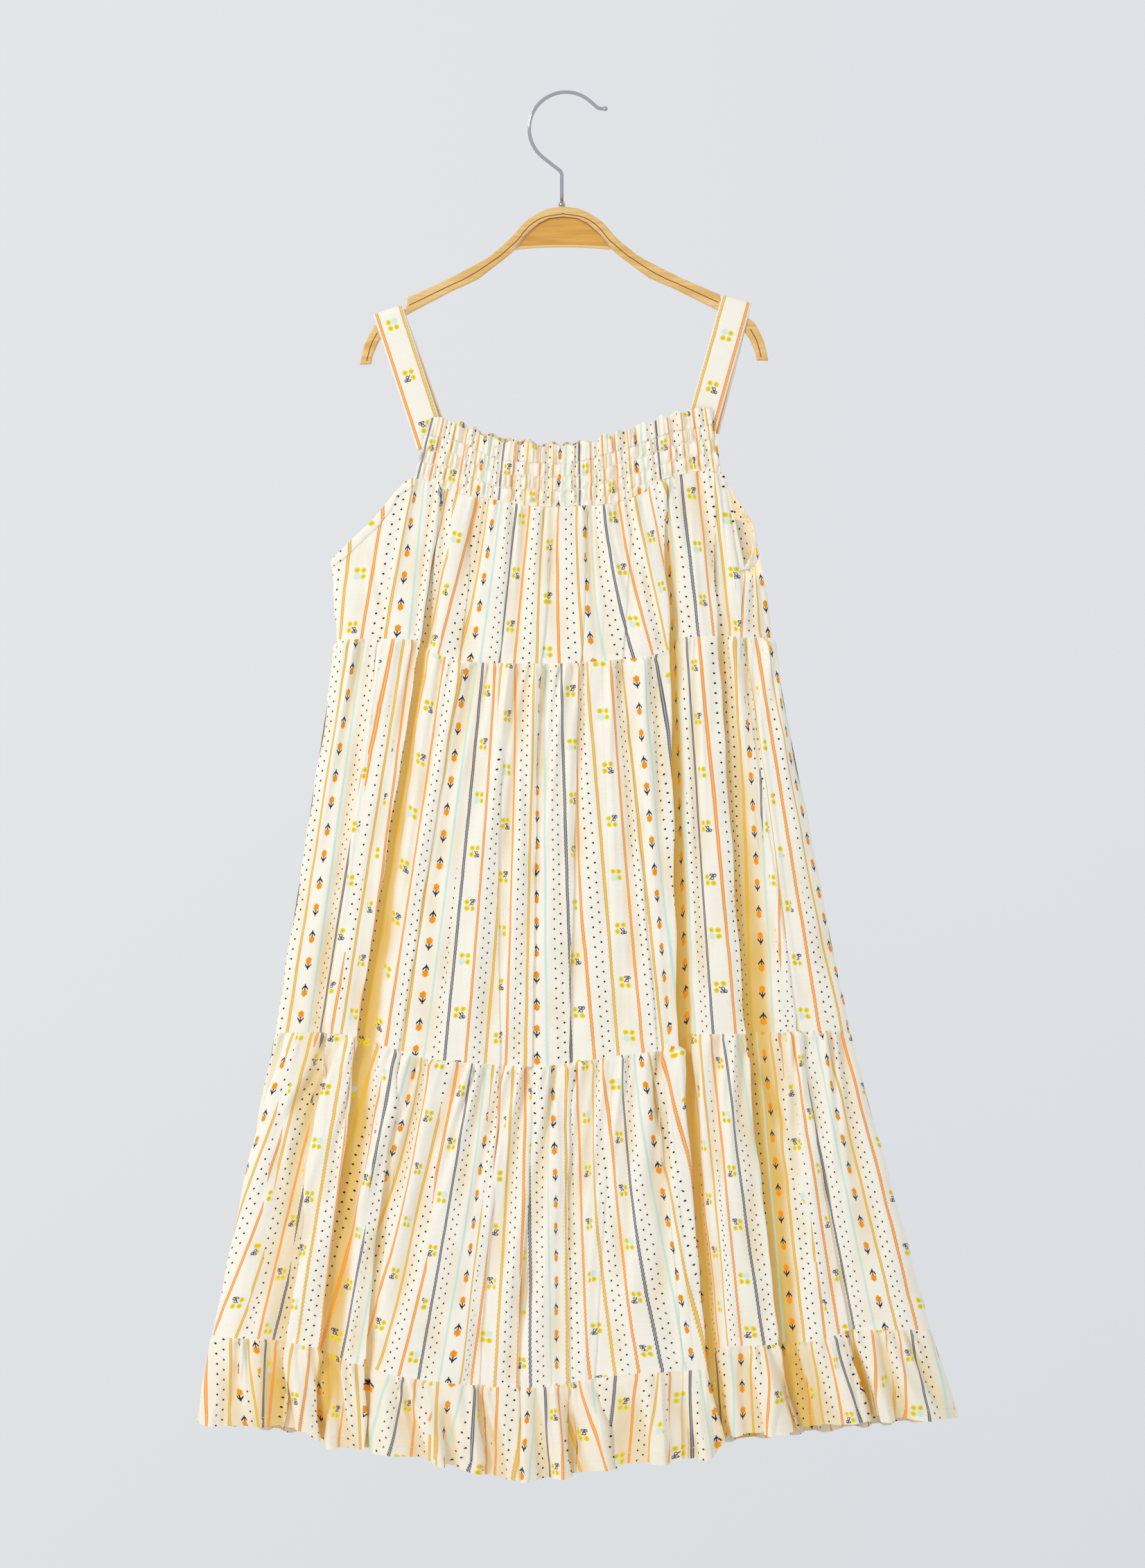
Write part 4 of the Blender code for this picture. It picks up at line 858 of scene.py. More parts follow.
def yoke_panel(back, columns, rows):
    """Points of the yoke's front or back, with the same values as for a panel."""
    share = np.linspace(0, 1, columns)
    if back:
        share = share[::-1]
    x = YOKE_LEFT + (YOKE_RIGHT - YOKE_LEFT) * share
    if back:
        edge_x, edge_z, edge_y = (column(BACK_TOP[BACK_YOKE_EDGE], k)[::-1] for k in (1, 2, 3))
        low_z, low_y = smooth_through(edge_x, edge_z, x), smooth_through(edge_x, edge_y, x)
    else:
        xs, ys, _ = half_section(0)
        low_z, low_y = front_height(0, x), np.interp(x, xs, ys)
    at = column(YOKE_TOP, 0)
    top_x = smooth_through(at, column(YOKE_TOP, 1), share)
    top_z = smooth_through(at, column(YOKE_TOP, 3 if back else 2), share)
    bow = 0.8 * (1 - ((top_x + 14.35) / 156.0) ** 2)
    top_y = (9.3 + bow) if back else -(9.6 + bow)
    top, low = np.stack([top_x, top_y, top_z], -1), np.stack([x, low_y, low_z], -1)
    v = np.linspace(0, 1, rows)[:, None]
    points = top[None] * (1 - v[..., None]) + low[None] * v[..., None]
    down = v * (top[:, 2] - low[:, 2])[None]
    band = (down - HEADING) / STITCH_ROW
    between = np.where(down < HEADING, 1.0, np.abs(np.sin(math.pi * band)))
    cloth = np.broadcast_to(YOKE_START + YOKE_CLOTH * share, down.shape)
    row = np.floor(np.clip(band, -1, None))
    step = 3.6 * np.sin(2.3 * row + 0.9 + 2.4 * ripple(cloth, 47.0, 0.4)) * np.clip(between * 3, 0, 1)
    frill = np.clip((HEADING - down) / HEADING, 0, 1)
    fine = 0.75 * ripple(cloth + step, 8.0, 3.1 if back else 1.4)
    fine = fine + 0.6 * ripple(cloth + 0.7 * step, 13.5, 2.7)
    broad = ripple(cloth + 0.4 * step, 21.0, 2.2 if back else 0.6)
    low = rising(down[-1:] - down, 5.0)
    stand = (0.30 + 1.45 * between**0.7) * fine * (1 - 0.30 * frill)
    stand += 0.9 * between * broad + 1.2 * between**0.6
    stand += frill * 2.4 * broad + 0.5 * cloud(points[..., 0], points[..., 2], 9.0, 2.0) * between
    base = points
    points = points + outward(points) * (stand * (0.25 + 0.75 * low))[..., None]
    points[..., 2] += 1.9 * frill**2 * ripple(cloth, 26.0, 0.9) - (1.6 * frill if back else 0.0)
    cloth = along_waves(cloth, base, points)
    start = back_panels["bodice"][1][0, 0] if back else 0.0
    # The last value is painted warm shade: a little over the whole yoke, more in the troughs of the fine
    # waves and along the rows of thread.
    return points, cloth + start, down, np.clip(0.10 - 0.40 * fine - 0.15 * between, 0, 0.45)


yokes = {"yoke_front": yoke_panel(False, 560, 78), "yoke_back": yoke_panel(True, 420, 64)}
for node, (points, cloth, down, deep) in yokes.items():
    sew_in(cloth_mesh(node + "_cloth", points, cloth, down, deep), node, points, held="gathered")

# %% [markdown]
# The armholes are edged with a narrow folded strip of the same cloth, turned to the outside. It follows
# the bodice's edge, lies on the bodice's own surface and stands out by its thickness.

# %% Armhole bindings
BINDING_FOLD = (
    # distance in from the edge and height off the bodice, from the inside over the edge to the outside
    (9.0, -0.5), (6.0, -0.55), (3.0, -0.6), (0.2, -0.55), (-0.7, -0.2), (-0.8, 0.4), (-0.2, 0.95),
    (1.0, 1.15), (2.6, 1.1), (4.0, 0.8), (4.6, 0.65), (5.2, 0.75), (5.7, 0.3),
)
BINDING_OVERLAP = (0.8, 0.4)  # how far the left and right bindings reach under the yoke
# SEEN_INSIDE is painted light: below zero, the fold attribute drives an emission and a warm tint that
# stand for light through the cloth.
SEEN_INSIDE = -0.5  # value of the fold attribute where light comes through to the inner side


def edge_strip(panel, chosen):
    """A strip along part of a panel's top edge, laid on the panel and moved out."""
    points = panel[0]
    quads = grid_faces(*points.shape[:2])
    surface = BVHTree.FromPolygons(points.reshape(-1, 3).tolist(), quads.tolist())
    edge, into = points[0, chosen], points[6, chosen] - points[0, chosen]
    side = outward(points)[1, chosen]
    run = run_of(steps_of(edge))
    at = np.linspace(0, run[-1], int(run[-1] / 1.6) + 2)
    edge, into, side = (
        np.stack([np.interp(at, run, grid[:, k]) for k in range(3)], -1) for grid in (edge, into, side)
    )
    along = unit(np.gradient(edge, axis=0))
    cross = unit(np.cross(along, unit(side)))
    cross *= np.sign((cross * into).sum(axis=1, keepdims=True))
    strip = np.zeros((len(BINDING_FOLD), len(at), 3))
    for r, (w, lift) in enumerate(BINDING_FOLD):
        for c in range(len(at)):
            spot = edge[c] + w * cross[c]
            near = surface.find_nearest(Vector(spot))[0]
            strip[r, c] = (np.array(near) if w > 0 else spot) + lift * side[c]
    order = np.argsort(edge[:, 0])
    passed = np.interp(strip[..., 0], edge[order, 0], np.interp(at, run, panel[1][0, chosen])[order])
    lit = np.where(column(BINDING_FOLD, 1) < 0, SEEN_INSIDE, 0.0)
    return strip, passed, -strip[..., 2], np.broadcast_to(lit[:, None], passed.shape)


bodice_front, bodice_back = front_panels["bodice"], back_panels["bodice"]
front_x, back_x = bodice_front[0][0, :, 0], bodice_back[0][0, :, 0]
corner = int(np.flatnonzero(back_x > YOKE_RIGHT)[-1])
bindings = {
    "binding_left_front": edge_strip(bodice_front, front_x < YOKE_LEFT + BINDING_OVERLAP[0]),
    "binding_right_front": edge_strip(bodice_front, front_x > YOKE_RIGHT - BINDING_OVERLAP[1]),
    "binding_right_back": edge_strip(bodice_back, np.arange(len(back_x)) <= corner),
    "binding_left_back": edge_strip(bodice_back, back_x < YOKE_LEFT + BINDING_OVERLAP[0]),
}
for node, (points, cloth, down, deep) in bindings.items():
    sew_in(cloth_mesh(node + "_cloth", points, cloth, down, deep), node, points, held="hung")

# %% [markdown]
# The straps are flat tubes of cloth, sewn along both edges. Each runs up from behind the yoke's frill,
# over the hanger's arm and down the back. Here a strip of points follows that path, stands a little
# higher in the middle than at its stitched edges, and then gets the thickness of the pressed tube.

# %% Straps
STRAP_WIDTH, STRAP_THICKNESS = 22.5, 0.9
STRAP_PATH = (
    # distance down from the fold, y, shift towards the right
    (104.0, -8.0, 0.0), (50.0, -7.0, 0.0), (10.0, -6.5, 0.0), (3.6, -6.4, 0.0), (0.9, -5.2, 0.0),
    (0.0, -2.6, 0.0), (0.0, 2.6, 0.0), (0.9, 5.2, 0.0), (3.6, 6.4, 0.1), (10.0, 6.5, 0.3),
    (50.0, 7.0, 1.8), (104.0, 7.8, 3.0),
)
STRAPS = (
    # side, x and z of the fold's middle, x moved for each mm down, length of each leg, start of its print
    ("left", -129.8, -158.4, 0.325, 104.0, -16.0),
    ("right", 124.6, -150.8, -0.280, 98.0, 6.0),
)
STRAP_PRINT = 43.0  # place on the cloth of each strap's middle, between a gold and an orange line


def strap_panel(x, z, slope, length, across_steps=17, along_steps=150):
    """Points of a strap's outer side, the cloth across and along it, and its outward directions."""
    path = np.array(STRAP_PATH)
    path[[0, -1], 0] = length
    chord = run_of(steps_of(path[:, :2]))
    fine = np.linspace(0, chord[-1], 1201)
    turn = np.exp(-(((fine - chord[-1] / 2) / 9.0) ** 2))
    pace = run_of((1 + 3 * turn)[1:])
    at = np.interp(np.linspace(0, pace[-1], along_steps), pace, fine)
    down, y, shift = (smooth_through(chord, path[:, k], at) for k in range(3))
    fall = unit(np.array([slope, 0.0, -1.0]))
    wide = np.array([-fall[2], 0.0, fall[0]])
    line = np.array([x, 0.0, z]) + down[:, None] * fall + np.stack([shift, y, np.zeros_like(y)], axis=-1)
    out = unit(np.cross(unit(np.gradient(line, axis=0)), wide))
    if out[0, 1] > 0:
        out = -out
    across = np.linspace(-1, 1, across_steps)
    swell = 0.55 * (1 - across**4) - 0.45 * np.exp(-(((np.abs(across) - 0.82) / 0.05) ** 2))
    points = line[:, None] + across[None, :, None] * (STRAP_WIDTH / 2) * wide
    lift = 0.35 + swell[None] + 0.25 * ripple(at[:, None] + 3 * across[None], 31.0, x)
    points = points + out[:, None] * lift[..., None]
    passed = np.broadcast_to(across[None] * STRAP_WIDTH / 2, points.shape[:2])
    return points, passed, np.broadcast_to(at[:, None], passed.shape), out


def edit(piece):
    """Selects one piece alone, so that operators act on it."""
    bpy.ops.object.select_all(action="DESELECT")
    piece.select_set(True)
    bpy.context.view_layer.objects.active = piece


for side, x, z, slope, length, print_start in STRAPS:
    points, across, along, _ = strap_panel(x, z, slope, length)
    cloth = STRAP_PRINT + (across if side == "right" else -across)
    piece = cloth_mesh(f"strap_{side}_cloth", points, cloth, along + print_start, np.zeros(across.shape))
    edit(piece)
    bpy.ops.object.mode_set(mode="EDIT")
    bpy.ops.mesh.select_all(action="SELECT")
    bpy.ops.mesh.normals_make_consistent(inside=False)
    bpy.ops.object.mode_set(mode="OBJECT")
    if piece.data.polygons[20].normal.y > 0:  # a face of the front leg, which looks forwards
        piece.data.flip_normals()
    wall = piece.modifiers.new("pressed tube", "SOLIDIFY")
    wall.thickness, wall.offset = STRAP_THICKNESS * MM, -1.0
    bpy.ops.object.modifier_apply(modifier=wall.name)
    sew_in(piece, f"strap_{side}", points, held="hung", rests_on=["hanger_bow"])

# %% [markdown]
# Sewing shows as thread. One stitch is modelled once, a short rounded bar, and copied along each line
# of sewing: the shirring of the yoke, the straps' edges, the bindings and the narrow hem.

# %% One stitch, and rows of it
bpy.ops.object.select_all(action="DESELECT")
bpy.ops.mesh.primitive_cylinder_add(vertices=6, radius=1.0, depth=2.0, end_fill_type="TRIFAN")
pattern = bpy.context.object
for vert in pattern.data.vertices:
    if abs(vert.co.x) + abs(vert.co.y) > 0.5:
        vert.co.z *= 0.72
stitch_points = np.array([v.co[:] for v in pattern.data.vertices])
stitch_faces = [tuple(p.vertices) for p in pattern.data.polygons]
bpy.data.objects.remove(pattern, do_unlink=True)


def sew(name, lines, length, gap, radius, rise):
    """Stitches along lines of surface points, each line with its outward directions."""
    verts, faces = [], []
    for points, out in lines:
        run = run_of(steps_of(points))
        count = int(run[-1] / (length + gap))
        for k in range(count):
            a, b = k * (length + gap) + gap / 2, k * (length + gap) + gap / 2 + length
            ends = [np.array([np.interp(s, run, points[:, i]) for i in range(3)]) for s in (a, b)]
            up = unit(np.array([np.interp((a + b) / 2, run, out[:, i]) for i in range(3)]))
            along = unit(ends[1] - ends[0])
            side = unit(np.cross(up, along))
            up = np.cross(along, side)
            middle = (ends[0] + ends[1]) / 2 + up * rise
            half = np.linalg.norm(ends[1] - ends[0]) / 2
            shape = (
                middle
                + stitch_points[:, :1] * radius * side
                + stitch_points[:, 1:2] * radius * 0.8 * up
                + stitch_points[:, 2:] * half * along
            )
            base = len(verts)
            verts.extend(shape.tolist())
            faces.extend(tuple(base + i for i in face) for face in stitch_faces)
    mesh = bpy.data.meshes.new(name)
    mesh.from_pydata((np.array(verts) * MM).tolist(), [], faces)
    shape = bmesh.new()
    shape.from_mesh(mesh)
    bmesh.ops.recalc_face_normals(shape, faces=shape.faces)
    shape.to_mesh(mesh)
    shape.free()
    smooth(mesh)
    made = into_scene(name, mesh)
    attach(made, "root")
    print(name, "stitches:", len(verts) // len(stitch_points))
    return made


def line_at(panel, distance, from_low=False):
    """A line across a panel at a distance down from its top edge, or up from its low one."""
    points, down = panel[0], panel[2]
    wanted = down[-1] - distance if from_low else np.full(points.shape[1], distance)
    line = np.zeros((points.shape[1], 3))
    out = outward(points)
    side = np.zeros_like(line)
    for c in range(points.shape[1]):
        k = min(int(np.searchsorted(down[:, c], wanted[c])), len(down) - 1)
        line[c], side[c] = points[k, c], out[k, c]
    return line, side


HEM_TURN = 8.0  # height of the narrow hem's sewing
shirring = []
for yoke in yokes.values():
    deepest = yoke[2][-1].min()
    for k in range(6):
        if HEADING + STITCH_ROW * k < deepest - 2:
            shirring.append(line_at(yoke, HEADING + STITCH_ROW * k))
hem_lines = [line_at(panels["ruffle"], HEM_TURN, True) for panels in (front_panels, back_panels)]
binding_lines = [(binding[0][-3], outward(binding[0])[-4]) for binding in bindings.values()]
strap_lines = []
for _, x, z, slope, length, _ in STRAPS:
    points, _, _, out = strap_panel(x, z, slope, length)
    for edge in (1, -2):
        strap_lines.append((points[4:-4, edge], out[4:-4]))
SEWING = (
    # name, lines, stitch length, gap, radius and height off the cloth
    ("shirring_thread", shirring, 1.9, 0.9, 0.36, 0.34),
    ("hem_thread", hem_lines, 2.0, 1.0, 0.17, 0.10),
    ("binding_thread", binding_lines, 2.0, 0.9, 0.17, 0.12),
    ("strap_thread", strap_lines, 2.0, 0.9, 0.18, 0.08),
)
threads = [sew(*row) for row in SEWING]

# %% [markdown]
# The hook is one bent wire. It starts as a circle of points, the wire's section, that is extruded
# up the stem and spun round each bend, as the wire was bent over a form. A turned ball ends it.

# %% The wire hook
WIRE = 1.35  # the wire's radius
HOOK_RADIUS = 26.8
HOOK_FOOT = (-3.0, 0.0, -81.5)  # where the wire enters the wood
TIP_RADIUS = 1.9
WIRE_BENDS = (
    # straight length, then a bend: its radius and angle, to the right above zero
    (21.9, 5.0, -52.0), (14.7, HOOK_RADIUS, 183.0), (6.6, 5.0, -41.0), (2.8, 0.0, 0.0),
)


def close_up(piece):
    """Merges doubles, fills the ends and turns every face outwards."""
    edit(piece)
    bpy.ops.object.mode_set(mode="EDIT")
    bpy.ops.mesh.select_all(action="SELECT")
    bpy.ops.mesh.remove_doubles(threshold=1e-5)
    bpy.ops.mesh.fill_holes(sides=0)
    bpy.ops.mesh.normals_make_consistent(inside=False)
    bpy.ops.object.mode_set(mode="OBJECT")
    bpy.ops.object.shade_smooth()


bpy.ops.object.select_all(action="DESELECT")
at = np.array(HOOK_FOOT)
bpy.ops.mesh.primitive_circle_add(vertices=20, radius=WIRE * MM, location=tuple(at * MM))
hook = bpy.context.object
hook.name = "hook_wire_round"
bpy.ops.object.transform_apply(location=True, rotation=True, scale=True)
bpy.ops.object.mode_set(mode="EDIT")
bpy.ops.mesh.select_all(action="SELECT")
heading = 0.0
for straight, radius, turn in WIRE_BENDS:
    way = np.array([math.sin(heading), 0.0, math.cos(heading)])
    bpy.ops.mesh.extrude_region_move(TRANSFORM_OT_translate={"value": tuple(way * straight * MM)})
    at = at + way * straight
    if radius:
        angle, sign = math.radians(turn), math.copysign(1.0, turn)
        centre = at + np.array([way[2], 0.0, -way[0]]) * sign * radius
        steps = max(6, int(abs(turn) / 5))
        bpy.ops.mesh.spin(steps=steps, angle=-angle, center=tuple(centre * MM), axis=(0, 1, 0))
        heading += angle
        at = centre - radius * np.array([math.cos(heading), 0.0, -math.sin(heading)]) * sign
bpy.ops.object.mode_set(mode="OBJECT")
close_up(hook)
bpy.ops.object.select_all(action="DESELECT")
bpy.ops.mesh.primitive_uv_sphere_add(
    segments=28, ring_count=16, radius=TIP_RADIUS * MM, location=tuple(at * MM)
)
tip = bpy.context.object
bpy.ops.object.transform_apply(location=True, rotation=True, scale=True)
bpy.ops.object.shade_smooth()
hook.select_set(True)
bpy.context.view_layer.objects.active = hook
bpy.ops.object.join()
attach(hook, "root")
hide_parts("hook_wire")
print("hook:", len(hook.data.vertices), "points, tip at", at.round(1))

# %% [markdown]
# Where the wire enters the wood sits a small turned ferrule. It is a short cylinder whose top face is
# inset and drawn up into a neck, with all its edges rounded.

# %% The ferrule
FERRULE_RADIUS, FERRULE_HEIGHT, FERRULE_AT = 2.45, 2.2, (-3.0, 0.0, -81.0)
bpy.ops.object.select_all(action="DESELECT")
bpy.ops.mesh.primitive_cylinder_add(
    vertices=32, radius=FERRULE_RADIUS * MM, depth=FERRULE_HEIGHT * MM, location=np.array(FERRULE_AT) * MM
)
ferrule = bpy.context.object
ferrule.name = "hook_ferrule"
bpy.ops.object.transform_apply(location=True, rotation=True, scale=True)
bpy.ops.object.mode_set(mode="EDIT")
bpy.ops.mesh.select_mode(type="FACE")
bpy.ops.mesh.select_all(action="DESELECT")
bpy.ops.object.mode_set(mode="OBJECT")
for face in ferrule.data.polygons:
    face.select = face.normal.z > 0.9
bpy.ops.object.mode_set(mode="EDIT")
bpy.ops.mesh.inset(thickness=0.55 * MM)
bpy.ops.mesh.extrude_region_move(TRANSFORM_OT_translate={"value": (0, 0, 1.2 * MM)})
bpy.ops.mesh.select_all(action="SELECT")
bpy.ops.mesh.bevel(offset=0.35 * MM, segments=3)
bpy.ops.object.mode_set(mode="OBJECT")
close_up(ferrule)
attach(ferrule, "root")
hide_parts("hook_collar")
print("ferrule:", len(ferrule.data.vertices), "points")

# %% [markdown]
# The hanger is cut from board with rounded edges. Its solids have the right outline, so they stay and
# get a wood finish. A fine groove, drawn dark brown, runs along each arm. A solid from the frame is never
# cut here, so a narrow strip a tenth of a millimetre thick shows the groove instead. It is drawn out from
# one edge and turned a little at each point, just as a router follows the arm. The back is a copy.

# %% The groove along the arms
GROOVE = (
    # x, z on the left arm from the middle outwards
    (-2.3, -88.0), (-15.9, -90.3), (-25.5, -95.8), (-30.3, -100.6), (-35.1, -106.9), (-40.1, -111.5),
    (-44.7, -115.8), (-49.7, -119.9), (-54.3, -122.9), (-59.3, -126.5), (-73.6, -135.2), (-85.8, -140.9),
    (-100.7, -148.1), (-114.4, -154.7),
)
GROOVE_TAIL = ((-137.6, -174.9), (-142.0, -183.2), (-145.3, -195.4))  # below the strap
MIDDLE_X, RIGHT_STRETCH, RISE = -2.3, 1.012, 0.0195  # the hanger hangs a little higher on its right
GROOVE_WIDTH, GROOVE_FACE, GROOVE_PROUD = 0.68, 5.45, 0.12


def mirrored(rows):
    """The same line on the right arm."""
    return [(MIDDLE_X + (MIDDLE_X - x) * RIGHT_STRETCH, z + RISE * (MIDDLE_X - x)) for x, z in rows]


def groove_strip(rows):
    """A narrow strip along the board's front face: one edge of a plane, drawn on point by point."""
    line = np.array(rows, float)
    run = run_of(steps_of(line))
    at = np.linspace(0, run[-1], 3 * len(rows))
    line = np.stack([smooth_through(run, line[:, k], at) for k in range(2)], axis=-1)
    along = unit(np.gradient(line, axis=0))
    heading = np.unwrap(np.arctan2(along[:, 1], along[:, 0]))
    place = np.array([line[0, 0], -GROOVE_FACE, line[0, 1]])
    bpy.ops.object.select_all(action="DESELECT")
    bpy.ops.mesh.primitive_plane_add(
        size=GROOVE_WIDTH * MM, location=place * MM, rotation=(math.pi / 2, -heading[0], 0)
    )
    strip = bpy.context.object
    bpy.ops.object.transform_apply(location=True, rotation=True, scale=True)
    bpy.ops.object.mode_set(mode="EDIT")
    bpy.ops.mesh.select_mode(type="VERT")
    bpy.ops.mesh.select_all(action="DESELECT")
    bpy.ops.object.mode_set(mode="OBJECT")
    front_end = place + GROOVE_WIDTH / 2 * np.array([along[0, 0], 0, along[0, 1]])
    for vert in strip.data.vertices:
        vert.select = np.linalg.norm(np.array(vert.co) / MM - front_end) < 0.6 * GROOVE_WIDTH
    bpy.ops.object.mode_set(mode="EDIT")
    for k in range(1, len(line)):
        there = np.array([line[k, 0], -GROOVE_FACE, line[k, 1]])
        bpy.ops.mesh.extrude_region_move(TRANSFORM_OT_translate={"value": (there - front_end) * MM})
        turn = heading[k] - heading[k - 1]
        bpy.ops.transform.rotate(value=turn, orient_axis="Y", center_override=there * MM)
        front_end = there
    bpy.ops.mesh.select_all(action="SELECT")
    bpy.ops.mesh.extrude_region_move(TRANSFORM_OT_translate={"value": (0, -GROOVE_PROUD * MM, 0)})
    bpy.ops.mesh.normals_make_consistent(inside=False)
    bpy.ops.object.mode_set(mode="OBJECT")
    return strip


groove_lines = (GROOVE, mirrored(GROOVE), GROOVE_TAIL, mirrored(GROOVE_TAIL))
strips = [groove_strip(rows) for rows in groove_lines]
bpy.ops.object.select_all(action="DESELECT")
for strip in strips:
    strip.select_set(True)
bpy.context.view_layer.objects.active = strips[0]
bpy.ops.object.join()
groove_front = bpy.context.object
groove_front.name = "groove_front"
groove_back = into_scene("groove_back", groove_front.data.copy())
edit(groove_back)
bpy.ops.object.mode_set(mode="EDIT")
bpy.ops.mesh.select_all(action="SELECT")
bpy.ops.transform.translate(value=(0, (2 * GROOVE_FACE + GROOVE_PROUD) * MM, 0))
bpy.ops.object.mode_set(mode="OBJECT")
grooves = [groove_front, groove_back]
for groove in grooves:
    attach(groove, "root")
print("groove:", len(groove_front.data.vertices), "points a side")

# %% [markdown]
# Shader sums are written as plain expressions. A small class wraps a socket, so that a product or a
# difference of values makes its own Math nodes.

# %% Values in a material
class Value:
    """A socket that takes part in sums."""

    def __init__(self, finish, socket):
        self.finish, self.socket = finish, socket

    def sum(self, operation, other=None, third=None, reflected=False):
        first, second = (other, self) if reflected else (self, other)
        inputs = {0: first, 1: second, 2: third}
        node = self.finish.node("ShaderNodeMath", {"operation": operation}, inputs)
        return Value(self.finish, node.outputs[0])

    def __add__(self, other):
        return self.sum("ADD", other)

    __radd__ = __add__

    def __sub__(self, other):
        return self.sum("SUBTRACT", other)

    def __rsub__(self, other):
        return self.sum("SUBTRACT", other, reflected=True)

    def __mul__(self, other):
        return self.sum("MULTIPLY", other)

    __rmul__ = __mul__

    def __truediv__(self, other):
        return self.sum("DIVIDE", other)

    def __abs__(self):
        return self.sum("ABSOLUTE")

    def __mod__(self, other):
        return self.sum("FLOORED_MODULO", other)

    def __lt__(self, other):
        return self.sum("LESS_THAN", other)

    def __gt__(self, other):
        return self.sum("GREATER_THAN", other)


class Finish:
    """A material and the nodes in it."""

    def __init__(self, name):
        self.material = bpy.data.materials.new(name)
        self.material.use_nodes = True
        self.tree = self.material.node_tree
        self.shader = self.tree.nodes["Principled BSDF"]

    def node(self, kind, settings=None, inputs=None):
        made = self.tree.nodes.new(kind)
        for key, value in (settings or {}).items():
            setattr(made, key, value)
        for key, value in (inputs or {}).items():
            if value is None:
                continue
            if isinstance(value, Value):
                value = value.socket
            if isinstance(value, bpy.types.NodeSocket):
                self.tree.links.new(value, made.inputs[key])
            else:
                made.inputs[key].default_value = value
        return made

    def under(self, value, edge, soft):
        """1 where value is below edge, 0 above, with a soft step."""
        inputs = {0: value, 1: edge - soft, 2: edge + soft, 3: 1.0, 4: 0.0}
        made = self.node("ShaderNodeMapRange", {"interpolation_type": "SMOOTHSTEP"}, inputs)
        return Value(self, made.outputs[0])

    def mix(self, share, first, second):
        made = self.node("ShaderNodeMix", {"data_type": "RGBA"}, {0: share, 6: first, 7: second})
        return made.outputs[2]

    def noise(self, vector, scale, detail=2.0, rough=0.5):
        inputs = {"Vector": vector, "Scale": scale, "Detail": detail, "Roughness": rough}
        return Value(self, self.node("ShaderNodeTexNoise", None, inputs).outputs[0])

    def drawn_out(self, vector, x, y, z=1.0):
        """The same places with each direction scaled, so that a pattern on them is drawn out."""
        return self.node("ShaderNodeMapping", None, {0: vector, 3: (x, y, z)}).outputs[0]

    def object_place(self):
        """The place on the piece, from its own coordinates."""
        return self.node("ShaderNodeTexCoord").outputs["Object"]

    def hypot(self, a, b):
        return (a * a + b * b).sum("SQRT")

    def close(self, colour, roughness, bump=None, strength=0.3, distance=0.0002, **constants):
        """Connects the finish to the shader. Constants go on the shader's own sockets."""
        self.tree.links.new(colour, self.shader.inputs["Base Color"])
        if isinstance(roughness, Value):
            self.tree.links.new(roughness.socket, self.shader.inputs["Roughness"])
        else:
            self.shader.inputs["Roughness"].default_value = roughness
        if bump is not None:
            inputs = {"Strength": strength, "Distance": distance, "Height": bump}
            node = self.node("ShaderNodeBump", None, inputs)
            self.tree.links.new(node.outputs[0], self.shader.inputs["Normal"])
        for key, value in constants.items():
            label = key.replace("_", " ").title().replace("Ior", "IOR")
            self.shader.inputs[label].default_value = value
        return self.material


def tone(text):
    """A colour's six hexadecimal digits as linear light."""
    parts = [int(text[i : i + 2], 16) / 255 for i in (0, 2, 4)]
    return (*[p / 12.92 if p <= 0.04045 else ((p + 0.055) / 1.055) ** 2.4 for p in parts], 1.0)


print("cream:", [round(v, 3) for v in tone("f5eedf")])

# %% [markdown]
# The print is charted on the flat cloth. Across it come a navy pair of lines, a column of sprigs, an
# orange pair, dots, a gold pair, more sprigs and lines, a column of tulips and a soft mint line, and
# then the same again every 107 mm. Down it, tulips come in pairs with their stems together, and
# sprigs in three kinds. Each motif is a few circles and lines, placed from the repeat. All numbers in
# these functions are in the chart's unit, about half a millimetre.

# %% Lines and dots of the print
UNIT = 0.505 * MM  # the chart's unit on the cloth
REPEAT = 211.0  # across the cloth, in units
MOTIF_REPEAT = 77.4  # down the cloth, in units


def printed_lines(f, s, p):
    """Navy, orange, gold and mint lines, from the place s across the cloth and p in the repeat."""

    def pair(at):
        off = abs(p - at)
        return f.under(off, 2.3, 0.35) * (1 - 0.42 * f.under(off, 0.40, 0.3))

    navy_off = abs((s + REPEAT / 2) % REPEAT - REPEAT / 2)
    navy = f.under(navy_off, 2.3, 0.35) * (1 - 0.55 * f.under(navy_off, 0.45, 0.3))
    orange = pair(31.0) + pair(102.5)
    gold = pair(67.0) + pair(138.0)
    mint = f.under(abs(p - 172.5), 2.2, 1.2)
    return navy, orange, gold, mint


def printed_dots(f, p, t):
    """Two staggered columns of dots beside three of the lines."""
    which = ((p - 50.0) / 72.0).sum("ROUND")
    off = p - 50.0 - which * 72.0
    dot_y = (t + off.sum("SIGN") * 3.6) % 14.3 - 7.15
    return f.under(f.hypot(abs(off) - 5.0, dot_y), 1.5, 0.35)


print("repeat:", round(REPEAT * UNIT, 4), "m across,", round(MOTIF_REPEAT * UNIT, 4), "m down")


# %% Tulips and sprigs of the print
def printed_tulips(f, p, t, period):
    """Heads, stems and leaves of the tulips, heads apart and stems together."""
    x = p - 155.5
    pair_y = (t + period * 31.0 + 15.45) % MOTIF_REPEAT - MOTIF_REPEAT / 2
    y = 23.35 - abs(pair_y)
    angle = y.sum("ARCTAN2", x)
    head = f.under(f.hypot(x / 4.7, y / 5.2) + 0.10 * (angle * 6.0).sum("COSINE"), 1.0, 0.13)
    stem = f.under(abs(x), 0.85, 0.25) * (y > 4.0) * (y < 13.5)
    leaf = f.under(abs(y - 10.6 + (abs(x) - 0.3) * 1.15), 1.6, 0.4) * (abs(x) < 5.0)
    return head, stem, leaf


